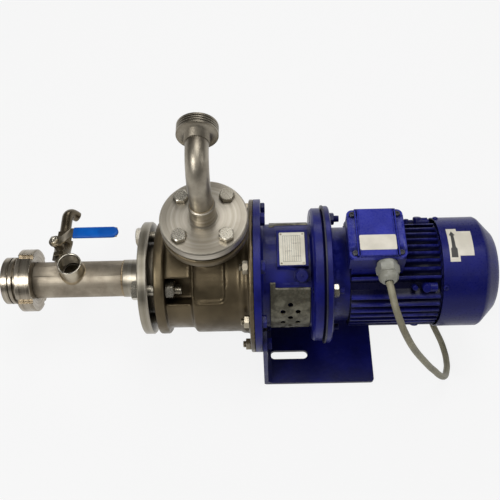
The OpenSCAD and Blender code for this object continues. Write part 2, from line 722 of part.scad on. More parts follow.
// Both branches are coped to the pipe
module pipe_sockets() color("#8f8774") at_shaft() {
    gauge_socket();
    drain_nipple();
}
module gauge_socket() difference() {
    translate([x_socket, 0, 0]) cylinder(h = socket_h, r = socket_r, $fn = small*2);
    translate([x_socket, 0, 0]) cylinder(h = socket_h + over, r = socket_bore_r, $fn = small*2);
    rod(x_socket - 2*socket_r, x_socket + 2*socket_r, pipe_r, fine);
}
module drain_nipple() difference() {
    translate([x_valve, 0, 0]) rotate([-90, 0, 0]) cylinder(h = y_valve_face, r = nipple_r, $fn = small);
    translate([x_valve, 0, 0]) rotate([-90, 0, 0])
        cylinder(h = y_valve_face + over, r = valve_bore_r, $fn = small);
    rod(x_valve - 2*nipple_r, x_valve + 2*nipple_r, pipe_r, fine);
}
// Union: loose nut over the liner, screwed on the male piece
nut_lip = 3;
x_nut = x_pipe_end - union_nut_l + liner_t + nut_lip;
seal_t = 3;
nut_face_r = 40;
slot_turn = 160;
module union_seal() color(rubber) at_shaft()
    turned(tube(pipe_r - pipe_wall, liner_r - liner_gap, x_pipe_end - seal_t, x_pipe_end));
module union_nut() color(steel) at_shaft() difference() {
    turned([[male_thread_r + fit_gap, x_nut], [union_nut_r - chamfer, x_nut], [union_nut_r, x_nut + chamfer],
        [union_nut_r, x_nut + union_nut_l - chamfer], [union_nut_r - chamfer, x_nut + union_nut_l],
        [nut_face_r, x_nut + union_nut_l], [pipe_r + nut_lip, x_nut + union_nut_l - nut_lip/2],
        [pipe_r + 2*run_gap, x_nut + union_nut_l - nut_lip/2],
        [pipe_r + 2*run_gap, x_pipe_end + liner_t + run_gap],
        [male_thread_r + fit_gap, x_pipe_end + liner_t + run_gap]]);
    circle_of(union_slots, slot_turn, union_nut_r - union_slot_d)
        translate([x_nut - over, 0, -union_slot_w/2])
            cube([union_nut_l + 2*over, 2*union_slot_d, union_slot_w]);
}
x_male = x_nut - male_l;
groove = 2;
// The end ring, the groove behind it and the second ring, as shares of the outer length
ring_share = 0.4;
groove_share = 0.48;
lip_share = 0.65;
module inlet_male() color(steel) at_shaft()
    turned([[pipe_r - pipe_wall, x_male], [male_r - chamfer, x_male], [male_r, x_male + chamfer],
        [male_r, x_male + male_l*ring_share], [male_r - groove, x_male + male_l*ring_share],
        [male_r - groove, x_male + male_l*groove_share], [male_r, x_male + male_l*groove_share],
        [male_r, x_male + male_l*lip_share], [male_thread_r - groove, x_male + male_l*lip_share],
        [male_thread_r - groove, x_nut - chamfer], [male_thread_r, x_nut],
        [male_thread_r, x_pipe_end - seal_t], [pipe_r - pipe_wall, x_pipe_end - seal_t]]);

// Drain valve behind the suction pipe. Its flow runs along Y, its stem leans with stem_tilt
module at_valve() at_shaft() translate([x_valve, 0, 0]) children();
module at_stem() at_valve() translate([0, valve_y, 0]) rotate([0, -stem_tilt, 0]) children();
module along_y(y0, y1, r, sides = small)
    translate([0, y0, 0]) rotate([-90, 0, 0]) cylinder(h = y1 - y0, r = r, $fn = sides);
seat_t = 3;
cap_l = 14;
hex_t = 6;
bonnet_r = 7;
lever_gap = 3;
bonnet_z = lever_z - lever_gap;
y_cap = valve_y + valve_l/2;
packing = fit_gap;
module valve_body() color(stainless) difference() {
    union() {
        at_valve() along_y(y_valve_face + hex_t - lap, y_cap - hex_t + lap, valve_r - chamfer/2);
        at_valve() rotate([0, -stem_tilt, 0]) {
            along_y(y_valve_face, y_valve_face + hex_t, valve_r/cos(30), 6);
            along_y(y_cap - hex_t, y_cap, valve_r/cos(30), 6);
        }
        at_stem() cylinder(h = bonnet_z, r = bonnet_r, $fn = small);
    }
    at_valve() along_y(y_valve_face - over, y_cap + over, valve_bore_r);
    at_valve() along_y(valve_y - ball_r, y_cap + over, ball_r + run_gap);
    at_stem() cylinder(h = bonnet_z + over, r = stem_r + packing, $fn = small);
}
module valve_end_cap() color(stainless) at_valve() difference() {
    union() {
        rotate([0, -stem_tilt, 0]) along_y(y_cap, y_cap + cap_l, valve_r - chamfer, 6);
        along_y(valve_y + ball_r, y_cap, ball_r + run_gap - fit_gap);
    }
    along_y(valve_y, y_cap + cap_l + over, valve_bore_r);
}
module valve_seats() color("ivory") at_valve() difference() {
    union() {
        along_y(valve_y - ball_r, valve_y - ball_r + seat_t, ball_r);
        along_y(valve_y + ball_r - seat_t, valve_y + ball_r, ball_r);
    }
    translate([0, valve_y, 0]) sphere(r = ball_r + run_gap, $fn = small);
    along_y(0, y_cap, valve_bore_r);
}
module valve_ball() color("silver") at_stem() difference() {
    sphere(r = ball_r, $fn = small);
    rotate([0, 90, 0]) cylinder(h = 2*ball_r + over, r = valve_bore_r, center = true, $fn = small);
    translate([0, 0, ball_r - seat_t/2]) cylinder(h = ball_r, r = stem_r + fit_gap, $fn = small);
}
module valve_stem() color("silver") at_stem()
    translate([0, 0, ball_r - seat_t/2]) cylinder(h = stem_l - ball_r + seat_t/2, r = stem_r, $fn = small);
stem_af = 11;
stem_nut_t = 5;
module stem_nut() color("silver") at_stem() translate([0, 0, lever_z + lever_t]) difference() {
    cylinder(h = stem_nut_t, r = stem_af/sqrt(3), $fn = 6);
    translate([0, 0, -over]) cylinder(h = stem_nut_t + 2*over, r = stem_r + fit_gap, $fn = small);
}
lever_hub_r = 9;
riser_run = 22;
grip_gap = 4;
x_riser = lever_hub_r + chamfer;
x_grip = x_riser + riser_run;
grip_z = lever_z + lever_rise;
grip_l = grip_gap + sleeve_l - sleeve_wall - run_gap;
// The lever is one bent strip on a round hub plate. Its grip lies level although the stem leans
module valve_lever() color("#a5a08c") at_stem() difference() {
    union() {
        translate([0, 0, lever_z]) cylinder(h = lever_t, r = lever_hub_r, $fn = small);
        translate([0, lever_w/2, 0]) rotate([90, 0, 0]) linear_extrude(height = lever_w)
            polygon([[0, lever_z], [x_riser, lever_z], [x_grip, grip_z],
                [x_grip + grip_l*cos(stem_tilt), grip_z - grip_l*sin(stem_tilt)],
                [x_grip + grip_l*cos(stem_tilt), grip_z - grip_l*sin(stem_tilt) + lever_t],
                [x_grip, grip_z + lever_t], [x_riser, lever_z + lever_t], [0, lever_z + lever_t]]);
    }
    translate([0, 0, lever_z - over]) cylinder(h = lever_t + 2*over, r = stem_r + fit_gap, $fn = small);
}
module at_grip() at_stem() translate([x_grip, 0, grip_z]) rotate([0, stem_tilt, 0]) children();
sleeve_w = lever_w + 2*sleeve_wall;
sleeve_t = lever_t + 2*sleeve_wall;
module lever_sleeve() color("#0a4fb0") at_grip() difference() {
    translate([0, 0, -sleeve_wall]) linear_extrude(height = sleeve_t) {
        translate([grip_gap, -sleeve_w/2]) square([sleeve_l - sleeve_w/2, sleeve_w]);
        translate([grip_gap + sleeve_l - sleeve_w/2, 0]) circle(r = sleeve_w/2, $fn = small);
    }
    translate([0, -lever_w/2 - fit_gap, -fit_gap])
        cube([grip_l + run_gap, lever_w + 2*fit_gap, lever_t + 2*fit_gap]);
}
drain_turn = 45;
drain_end_l = 6;
module drain_elbow() color("#6f6858") at_valve() translate([0, y_cap + cap_l, 0])
    rotate([0, drain_turn, 0]) difference() {
        drain_form(drain_r, 0);
        drain_form(valve_bore_r, over);
    }
// Straight, bend and straight, longer by extra at both ends
module drain_form(r, extra) {
    along_y(-extra, drain_l, r);
    translate([drain_bend_r, drain_l, 0]) {
        rotate([0, 0, 90]) rotate_extrude(angle = 90, $fn = fine)
            translate([drain_bend_r, 0]) circle(r = r, $fn = small);
        rotate([0, 90, 0]) translate([0, drain_bend_r, 0])
            cylinder(h = drain_end_l + extra, r = r, $fn = small);
    }
}

// Discharge side
discharge_head = 7.5;
discharge_nut = 10;
discharge_tail = 5;
z_riser = discharge_h + gasket_t;
z_riser_top = z_riser + discharge_face_h + discharge_flange_t;
module discharge_circle()
    for (i = [0:3]) rotate([0, 0, 45 + i*90]) translate([discharge_pcd_r, 0, 0]) children();
module discharge_bolts() color(steel) at_discharge(0) discharge_circle() {
    translate([0, 0, z_riser_top]) cylinder(h = discharge_head, r = discharge_af/sqrt(3), $fn = 6);
    translate([0, 0, z_nut - discharge_tail])
        cylinder(h = z_riser_top - z_nut + discharge_tail, r = discharge_bolt_r, $fn = small);
}
z_nut = discharge_h - discharge_face_h - discharge_flange_t - discharge_nut;
module discharge_nuts() color(steel) at_discharge(z_nut) discharge_circle() difference() {
    cylinder(h = discharge_nut, r = discharge_af/sqrt(3), $fn = 6);
    translate([0, 0, -over])
        cylinder(h = discharge_nut + 2*over, r = discharge_bolt_r + fit_gap, $fn = small);
}
z_bend = union_z - riser_bend_r;
thread_rings = 3;
thread_pitch = 3.4;
thread_d = 1.3;
thread_start_share = 0.7;
module riser_flange() color(steel) at_discharge(0) difference() {
    rotate_extrude($fn = fine) polygon([[riser_neck_r, z_riser + discharge_face_h],
        [discharge_flange_r - edge, z_riser + discharge_face_h],
        [discharge_flange_r, z_riser + discharge_face_h + edge], [discharge_flange_r, z_riser_top - edge],
        [discharge_flange_r - edge, z_riser_top], [riser_neck_r, z_riser_top]]);
    discharge_circle() translate([0, 0, z_riser - over])
        cylinder(h = 2*discharge_flange_t, r = discharge_bolt_r + hole_gap, $fn = small);
}
// Raised face, weld neck, pipe, bend and threaded end in one weldment
module riser_pipe() color("#9a9484") at_discharge(0) difference() {
    union() {
        rotate_extrude($fn = fine) polygon([[0, z_riser], [discharge_face_r, z_riser],
            [discharge_face_r, z_riser + discharge_face_h], [riser_neck_r, z_riser + discharge_face_h],
            [riser_neck_r, z_riser_top + riser_neck_l - edge], [riser_r, z_riser_top + riser_neck_l],
            [riser_r, z_bend], [riser_r - chamfer/2, z_bend], [riser_r - chamfer/2, z_bend + lap],
            [0, z_bend + lap]]);
        translate([0, riser_bend_r, z_bend]) rotate([90, 0, -90]) bend(riser_r, riser_bend_r);
        translate([0, 0, union_z]) outlet();
    }
    translate([0, 0, z_riser - over])
        cylinder(h = z_bend - z_riser + over, r = riser_r - riser_wall, $fn = fine);
    translate([0, riser_bend_r, z_bend]) rotate([90, 0, -90]) bend(riser_r - riser_wall, riser_bend_r);
    translate([0, 0, union_z]) along_y(riser_bend_r, union_y + outlet_l + over, riser_r - riser_wall, fine);
}
module bend(r, bend_r)
    rotate_extrude(angle = 90, $fn = fine) translate([bend_r, 0]) circle(r = r, $fn = small*2);
// Threaded male end of the discharge pipe
module outlet() difference() {
    translate([0, riser_bend_r, 0]) rotate([-90, 0, 0]) rotate_extrude($fn = fine) polygon([[0, -lap],
        [riser_r - chamfer/2, -lap], [riser_r - chamfer/2, 0], [riser_r, 0], [riser_r, chamfer],
        [riser_neck_r - chamfer, chamfer],
        [riser_neck_r - chamfer, union_y - riser_bend_r], [outlet_r, union_y - riser_bend_r],
        [outlet_r, union_y - riser_bend_r + outlet_l], [0, union_y - riser_bend_r + outlet_l]]);
    for (i = [0:thread_rings - 1])
        translate([0, union_y + thread_pitch*(i + thread_start_share), 0]) rotate([-90, 0, 0])
            rotate_extrude($fn = fine) polygon([[outlet_r - thread_d, thread_pitch/4],
                [outlet_r + over, 0], [outlet_r + over, thread_pitch - thread_pitch/4],
                [outlet_r - thread_d, thread_pitch/2]]);
}

// Motor
motor_nut = 8;
motor_tail = 7;
stud_inset = 2;
module motor_gasket() color(rubber) at_shaft() difference() {
    turned(tube(spigot_r + fit_gap, motor_flange_r + chamfer, x_motor_side, x_motor));
    circle_of(4, 45, motor_pcd_r)
        rod(x_motor_side - over, x_motor + over, joint_bolt_r + hole_gap, small);
}
module motor_bolts() color(blue) at_shaft() circle_of(4, 45, motor_pcd_r) {
    hexagon(x_motor + motor_flange_t, x_motor + motor_flange_t + motor_nut, joint_af);
    rod(x_motor_side - motor_side_t + stud_inset, x_motor + motor_flange_t + motor_nut + motor_tail,
        joint_bolt_r, small);
}
bearing_r = 23.5;
bearing_w = 14;
journal_r = 10;
shield_wall = 6;
spigot_h = 3.5;
shield_bore_r = stator_r - 2;
x_bearing = x_shield_back - 2*bearing_w + spigot_h;
x_bearing_rear = x_frame_end + spigot_h;
module flange_shield() color(blue) at_shaft() difference() {
    turned([[journal_r + bore_gap, x_motor - spigot_h], [spigot_r, x_motor - spigot_h], [spigot_r, x_motor],
        [motor_flange_r, x_motor], [motor_flange_r, x_motor + motor_flange_t - edge],
        [motor_flange_r - edge, x_motor + motor_flange_t], [shield_r, x_motor + motor_flange_t],
        [shield_r, x_shield_back - shield_wall], [frame_r + chamfer, x_shield_back - shield_wall/2],
        [frame_r + chamfer, x_shield_back],
        [shield_bore_r, x_shield_back], [shield_bore_r, x_motor + motor_flange_t + chamfer],
        [bearing_r + shield_wall, x_motor + motor_flange_t + chamfer],
        [bearing_r + shield_wall, x_bearing + bearing_w], [bearing_r + fit_gap/2, x_bearing + bearing_w],
        [bearing_r + fit_gap/2, x_bearing], [journal_r + bore_gap, x_bearing]]);
    circle_of(4, 45, motor_pcd_r)
        rod(x_motor - over, x_motor + motor_flange_t + over, joint_bolt_r + hole_gap, small);
}

fins_each_side = 4;
box_inset = 1;
lid_offset = 28;
x_lid = x_motor + lid_offset;
boss_x = 8;
tie_boss_r = 6.5;
tie_boss_l = 14;
tie_inset = 2;
root_share = 0.9;
root_r = frame_r*root_share;
pad_share = 0.7;
pad_base = frame_r*pad_share;
module motor_frame() color(blue) at_shaft() difference() {
    union() {
        rod(x_shield_back, x_frame_end, frame_r, fine);
        intersection() {
            rod(x_shield_back + chamfer, x_frame_end - chamfer, fin_r, fine);
            union() for (i = [-fins_each_side:fins_each_side]) fin_pair(i);
        }
        circle_of(4, 45, 0) translate([x_frame_end - tie_boss_l - boss_x, root_r, -tie_boss_r/2])
            cube([tie_boss_l, fin_r - root_r, tie_boss_r]);
        circle_of(4, 45, fin_r - tie_inset)
            rod(x_frame_end - tie_boss_l - boss_x - chamfer, x_frame_end - boss_x + chamfer, tie_boss_r);
        translate([x_shield_back, -lid_w/2 + box_inset, pad_base])
            cube([x_lid + lid_w - box_inset - x_shield_back, lid_w - 2*box_inset, pad_z - pad_base]);
    }
    rod(x_shield_back - over, x_frame_end + over, stator_r + fit_gap, fine);
}
// A flat fin lies across the frame, one upright and one level
module fin_pair(i) {
    translate([x_shield_back, i*fin_pitch - fin_t/2, -2*fin_r]) cube([frame_l, fin_t, 4*fin_r]);
    translate([x_shield_back, -2*fin_r, i*fin_pitch - fin_t/2]) cube([frame_l, 4*fin_r, fin_t]);
}
rear_plate_t = 8;
rear_rim = 3;
rear_r = frame_r + rear_rim;
module rear_shield() color(blue) at_shaft()
    turned([[bearing_r + fit_gap/2, x_frame_end], [frame_r + chamfer, x_frame_end],
        [rear_r, x_frame_end + 2*chamfer], [rear_r, x_frame_end + rear_plate_t],
        [bearing_r + shield_wall, x_frame_end + rear_plate_t],
        [bearing_r + shield_wall, x_bearing_rear + bearing_w + shield_wall/2],
        [journal_r + bore_gap, x_bearing_rear + bearing_w + shield_wall/2],
        [journal_r + bore_gap, x_bearing_rear + bearing_w],
        [bearing_r + fit_gap/2, x_bearing_rear + bearing_w]]);
core_inset = 22;
x_core = x_shield_back + core_inset;
core_l = frame_l - 2*core_inset;
module stator_core() color("#55504a") at_shaft()
    turned(tube(rotor_r + run_gap, stator_r - fit_gap/2, x_core, x_core + core_l));
winding_l = 18;
winding_gap = 5;
winding_crown = 3;
winding_r = stator_r - winding_gap - winding_crown;
module stator_windings() color("#a35a2a") at_shaft() for (x = [x_core - winding_l, x_core + core_l])
    turned([[rotor_r + winding_gap, x], [winding_r, x], [winding_r + winding_crown, x + winding_l/2],
        [winding_r, x + winding_l], [rotor_r + winding_gap, x + winding_l]]);
rotor_seat_r = 13;
fan_hub_l = 18;
fan_gap = 4;
x_fan = x_bearing_rear + bearing_w + shield_wall/2 + fan_gap;
module motor_shaft() color("silver") at_shaft() turned([[0, x_shaft_end], [motor_shaft_r, x_shaft_end],
    [motor_shaft_r, x_bearing], [journal_r - fit_gap/2, x_bearing],
    [journal_r - fit_gap/2, x_bearing + bearing_w], [rotor_seat_r, x_bearing + bearing_w],
    [rotor_seat_r, x_bearing_rear], [journal_r - fit_gap/2, x_bearing_rear],
    [journal_r - fit_gap/2, x_bearing_rear + bearing_w], [journal_r - chamfer, x_bearing_rear + bearing_w],
    [journal_r - chamfer, x_fan + fan_hub_l], [0, x_fan + fan_hub_l]]);
module rotor_core() color("#6d6a66") at_shaft() {
    turned([[rotor_seat_r + fit_gap/2, x_core], [rotor_r, x_core], [rotor_r, x_core + core_l],
        [rotor_seat_r + fit_gap/2, x_core + core_l]]);
    for (x = [x_core - shell_t, x_core + core_l])
        turned(tube(rotor_r - 2*shell_t, rotor_r - chamfer, x, x + shell_t));
}
module motor_bearings() color("silver") at_shaft() for (x = [x_bearing, x_bearing_rear])
    turned(tube(journal_r + fit_gap/2, bearing_r, x, x + bearing_w - bore_gap));
fan_blades = 9;
fan_r = 62;
blade_t = 2;
blade_w = 24;
fan_hub_r = 15;
module fan() color("#202224") at_shaft() {
    turned(tube(journal_r - chamfer + fit_gap, fan_hub_r + lap, x_fan, x_fan + fan_hub_l));
    turned(tube(fan_hub_r, fan_r, x_fan, x_fan + blade_t));
    for (i = [0:fan_blades - 1]) rotate([i*360/fan_blades, 0, 0])
        translate([x_fan + blade_t/2, fan_hub_r, -blade_t/2]) cube([blade_w, fan_r - fan_hub_r, blade_t]);
}
// Fan cover: drawn sheet with a tapered end and a slotted grille
grille_slots = 16;
grille_w = 5;
grille_rings = [[13, 26], [30, 50]];
module fan_cover() color(blue) at_shaft() difference() {
    turned([[0, x_cover_end], [cover_end_r - 2*edge, x_cover_end], [cover_end_r, x_cover_end - edge],
        [cover_r - edge, x_cover_end - cover_taper_l], [cover_r, x_cover_end - cover_taper_l - 2*edge],
        [cover_r, x_cover], [cover_r - cover_t, x_cover],
        [cover_r - cover_t, x_cover_end - cover_taper_l - 2*edge],
        [cover_end_r - cover_t, x_cover_end - edge - cover_t],
        [cover_end_r - 2*edge, x_cover_end - cover_t], [0, x_cover_end - cover_t]]);
    for (ring = grille_rings) circle_of(grille_slots, 0, ring[0])
        translate([x_cover_end - 2*cover_t, 0, -grille_w/2*ring[0]/ring[1]])
            cube([3*cover_t + over, ring[1] - ring[0], grille_w*ring[0]/ring[1]]);
    circle_of(4, 45, 0) translate([x_screw, 0, 0])
        rotate([-90, 0, 0]) cylinder(h = 2*cover_r, r = screw_r/2 + fit_gap, $fn = small);
}
screw_r = 4;
screw_h = 2.5;
x_screw = x_frame_end + rear_plate_t/2 + chamfer/2;
// Screws of the fan cover and of the terminal box's lid
module cover_screws() color("silver") {
    fan_cover_screws();
    lid_screws();
}
module fan_cover_screws() at_shaft() for (i = [0:3]) rotate([45 + i*90, 0, 0])
    translate([x_screw, 0, 0]) {
        translate([0, 0, cover_r]) cylinder(h = screw_h, r1 = screw_r, r2 = screw_r - chamfer, $fn = small);
        translate([0, 0, rear_r]) cylinder(h = cover_r - rear_r, r = screw_r/2, $fn = small);
    }

// Terminal box on the frame's pad, with its lid and cable gland
lid_bottom = lid_z - lid_t;
gland_thread_r = 8.5;
gland_share = 0.66;
x_gland = x_lid + lid_w*gland_share;
module at_lid(z) at_shaft() translate([x_lid, -lid_w/2, z]) children();
module terminal_box() color(blue) {
    box_shell();
    box_pillars();
}
module box_shell() at_lid(pad_z) difference() {
    translate([box_inset, box_inset, 0]) cube([lid_w - 2*box_inset, lid_w - 2*box_inset, lid_bottom - pad_z]);
    translate([box_inset + box_wall, box_inset + box_wall, box_wall])
        cube([lid_w - 2*box_inset - 2*box_wall, lid_w - 2*box_inset - 2*box_wall, lid_bottom]);
    translate([x_gland - x_lid, -over, gland_z - pad_z]) rotate([-90, 0, 0])
        cylinder(h = 3*box_wall, r = gland_thread_r + fit_gap, $fn = small);
}
module box_pillars() at_lid(pad_z) lid_corners() cylinder(h = lid_bottom - pad_z, r = pillar_r, $fn = small);
pillar_r = 4;
panel_share = 0.68;
lid_screw_r = 4;
lid_pad_r = 8;
lid_panel_h = 2;
lid_screw_inset = 7.5;
module lid_corners()
    for (x = [lid_screw_inset, lid_w - lid_screw_inset]) for (y = [lid_screw_inset, lid_w - lid_screw_inset])
        translate([x, y, 0]) children();
module terminal_lid() color(blue) at_lid(lid_bottom) difference() {
    union() {
        lid_block(0, lid_t - lid_panel_h, 0);
        translate([lid_w*(1 - panel_share)/2, chamfer, 0])
            cube([lid_w*panel_share, lid_w - 2*chamfer, lid_t]);
    }
    lid_corners() translate([0, 0, lid_t - 2*lid_panel_h])
        cylinder(h = lid_t, r = lid_pad_r, $fn = small);
    lid_corners() translate([0, 0, -over]) cylinder(h = lid_t, r = lid_screw_r/2 + fit_gap, $fn = small);
}
module lid_block(z, h, inset) translate([0, 0, z]) linear_extrude(height = h) {
    for (x = [lid_pad_r, lid_w - lid_pad_r], y = [lid_pad_r, lid_w - lid_pad_r])
        translate([x, y]) circle(r = lid_pad_r - inset, $fn = small);
    translate([lid_pad_r, inset]) square([lid_w - 2*lid_pad_r, lid_w - 2*inset]);
    translate([inset, lid_pad_r]) square([lid_w - 2*inset, lid_w - 2*lid_pad_r]);
}
module lid_screws() at_lid(lid_z - 2*lid_panel_h) lid_corners() {
    cylinder(h = lid_panel_h, r = lid_screw_r, $fn = small);
    translate([0, 0, -lid_t + 2*lid_panel_h])
        cylinder(h = lid_t - 2*lid_panel_h, r = lid_screw_r/2, $fn = small);
}
gland_hex_l = 9;
gland_nut_l = 9;
gland_neck_l = 1;
gland_neck_r = 12;
gland_turn = 12;
cable_r = cable_d/2;
cable_core_share = 0.67;
cable_core_r = cable_r*cable_core_share;
y_gland = -lid_w/2;
y_gland_nut = y_gland - gland_hex_l - gland_neck_l;
module cable_gland() color("#a5a493") at_shaft() translate([x_gland, 0, gland_z]) difference() {
    union() {
        along_y(y_gland, y_gland + box_inset + box_wall, gland_thread_r);
        along_y(y_gland - gland_hex_l, y_gland, gland_af/sqrt(3), 6);
        along_y(y_gland - gland_hex_l - gland_neck_l - lap, y_gland - gland_hex_l + lap, gland_neck_r);
        rotate([0, gland_turn, 0])
            along_y(y_gland_nut - gland_nut_l, y_gland_nut, (gland_af - chamfer)/sqrt(3), 6);
        translate([0, y_gland - gland_l, 0]) rotate([-90, 0, 0])
            cylinder(h = gland_l - gland_hex_l - gland_neck_l - gland_nut_l + lap,
                r1 = cable_d, r2 = gland_af/2 - chamfer, $fn = small);
    }
    along_y(y_gland - gland_l - over, y_gland + 2*box_wall, cable_core_r, small);
}

// Cable: a free stretch from the gland to the floor, then a coil under and behind the motor
cable_lift = 0.3;
cable_floor = cable_r + cable_lift;
y_cable = y_gland - gland_l;
x_coil = 158;
y_coil = 66;
coil_start = -45;
// Turns of the lower layer, of the climb and of the upper layer
coil_low = 2.25;
coil_climb = 0.5;
coil_up = 1.625;
coil_tail = cable_d;
cable_sides = 8;
coil_sides = 6;
cable_route = [[85, -76, 227], [86, -85, 226], [89, -100, 220.5], [94, -113, 212], [99.5, -123.5, 202],
    [108, -132, 186], [116, -134.5, 168.5], [124.5, -135.5, 150.5], [133.5, -136, 133],
    [142.5, -136, 115.5], [151, -136, 99.5], [160, -135.5, 84], [168.5, -134.5, 67.5],
    [177, -131.5, 51.5], [184, -126, 37.5], [189.5, -118, 26], [196, -102, 13.5], [198, -90.5, 8],
    [198.5, -78, 5.05], [195.5, -58.5, 5.05], [190, -39.5, 5.05], [186.5, -28, 5.05],
    [184.5, -17, 5.05], [185.5, -5, 5.05], [190, 5.5, 5.05]];
function unit(v) = v/norm(v);
function coil_angle(t) = coil_start + 360*t;
function coil_radius(t) = t < coil_low ? coil_r - coil_pitch*t
    : coil_r - coil_pitch*coil_low + coil_pitch*max(0, t - coil_low - coil_climb);
function coil_z(t) = cable_floor + layer_pitch*min(1, max(0, (t - coil_low)/coil_climb));
function coil_point(t) = [x_coil + coil_radius(t)*cos(coil_angle(t)),
    y_coil + coil_radius(t)*sin(coil_angle(t)), coil_z(t)];
coil_turns = coil_low + coil_climb + coil_up;
function heading(a) = [-sin(a), cos(a), 0];
loop_rings = 24;
coil_steps = round(coil_turns*loop_rings);
coil_in = coil_point(0) - cable_d*heading(coil_start);
coil_out = coil_point(coil_turns) + coil_tail*heading(coil_angle(coil_turns));
coil_points = concat([coil_in],
    [for (i = [0:coil_steps]) coil_point(coil_turns*i/coil_steps)], [coil_out]);
cable_points = concat([[x_gland, y_cable, shaft_h + gland_z]],
    cable_route, [coil_in]);
// Directions at each point of a line, with given directions at its ends
function ways(p, first, last) = [for (i = [0:len(p) - 1])
    i == 0 ? first : i == len(p) - 1 ? last : unit(unit(p[i + 1] - p[i]) + unit(p[i] - p[i - 1]))];
function ring(c, way, side, r, n) = let (u = unit(cross(way, side)), v = cross(way, u))
    [for (k = [0:n - 1]) c + r*cos(360*k/n)*u + r*sin(360*k/n)*v];
module swept(p, way, side, r, n) {
    rings = [for (i = [0:len(p) - 1]) each ring(p[i], way[i], side, r, n)];
    walls = [for (i = [0:len(p) - 2], k = [0:n - 1]) let (a = i*n + k, b = i*n + (k + 1)%n)
        each [[a, b, a + n], [b, b + n, a + n]]];
    last = (len(p) - 1)*n;
    caps = [for (k = [1:n - 2]) each [[0, k + 1, k], [last, last + k, last + k + 1]]];
    polyhedron(rings, concat(walls, caps));
}
function line_length(p) =
    [for (i = [1:len(p) - 1]) norm(p[i] - p[i - 1])]*[for (i = [1:len(p) - 1]) 1];
coil_gap = min([for (i = [0:len(coil_points) - 1], j = [0:len(coil_points) - 1])
    if (j > i + loop_rings/2) norm(coil_points[i] - coil_points[j])]) - cable_d;
echo(cable_length = line_length(cable_points) + line_length(coil_points), coil_gap = coil_gap);
module cable() color("#8f8b74")
    swept(cable_points, ways(cable_points, [0, -1, 0], heading(coil_start)),
        [1, -1, 0], cable_r, cable_sides);
module cable_coil() color("#8f8b74")
    swept(coil_points, ways(coil_points, heading(coil_start), heading(coil_angle(coil_turns))),
        [0, 0, 1], cable_r, coil_sides);
// Earthed plug that lies on the floor at the coil's end
plug_body_r = 19;
plug_body_l = 32;
boot_l = 26;
boot_r = 8;
pin_r = 2.4;
pin_l = 19;
pin_y = 9.5;
plug_tilt = asin((plug_body_r + cable_lift - coil_z(coil_turns))/(boot_l + plug_body_l));
module plug() translate(coil_out) rotate([0, 0, coil_angle(coil_turns) + 90]) {
    color("#2a2a2c") hull() {
        rod(0, lap, cable_r + chamfer/2, small);
        rotate([0, -plug_tilt, 0]) rod(boot_l - lap, boot_l, boot_r, small);
    }
    rotate([0, -plug_tilt, 0]) {
        color("#2a2a2c") turned([[0, boot_l - 2*lap], [boot_r + chamfer, boot_l - 2*lap],
            [plug_body_r - 3*edge, boot_l + plug_body_l/4],
            [plug_body_r, boot_l + plug_body_l/2], [plug_body_r, boot_l + plug_body_l - edge],
            [plug_body_r - edge, boot_l + plug_body_l], [0, boot_l + plug_body_l]]);
        color("silver") for (s = [-1, 1]) translate([0, s*pin_y, 0])
            rod(boot_l + plug_body_l - lap, boot_l + plug_body_l + pin_l, pin_r, small);
    }
}

volute_casing();
casing_flange();
discharge_neck();
casing_cover();
seal_housing();
casing_gasket();
impeller();
impeller_nut();
seal_seat();
seal_head();
stub_shaft();
casing_bolts();
casing_nuts();
lantern();
guard_front();
guard_rear();
lantern_plug();
nameplate();
foot();
flange_gaskets();
counter_flange();
suction_pipe();
pipe_sockets();
suction_bolts();
suction_nuts();
union_seal();
union_nut();
inlet_male();
valve_body();
valve_end_cap();
valve_seats();
valve_ball();
valve_stem();
stem_nut();
valve_lever();
lever_sleeve();
drain_elbow();
riser_flange();
riser_pipe();
discharge_bolts();
discharge_nuts();
motor_gasket();
motor_bolts();
flange_shield();
motor_frame();
rear_shield();
stator_core();
stator_windings();
motor_shaft();
rotor_core();
motor_bearings();
fan();
fan_cover();
terminal_box();
terminal_lid();
cover_screws();
cable_gland();
cable();
cable_coil();
plug();
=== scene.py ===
# %% [markdown]
# # A centrifugal pump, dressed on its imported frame
# The frame holds every sub-part of the pump as a plain solid that stands where it belongs. This lesson keeps
# those solids as the measure and gives each visible one its real surface: cast steel, turned steel, paint,
# rubber or vinyl. All lengths are in metres. X runs along the shaft towards the motor, Y to the rear, Z up.

# %% Load the frame and keep its box
import json
import math
from collections import namedtuple

import bmesh
import bpy
import numpy as np
from mathutils import Matrix, Vector

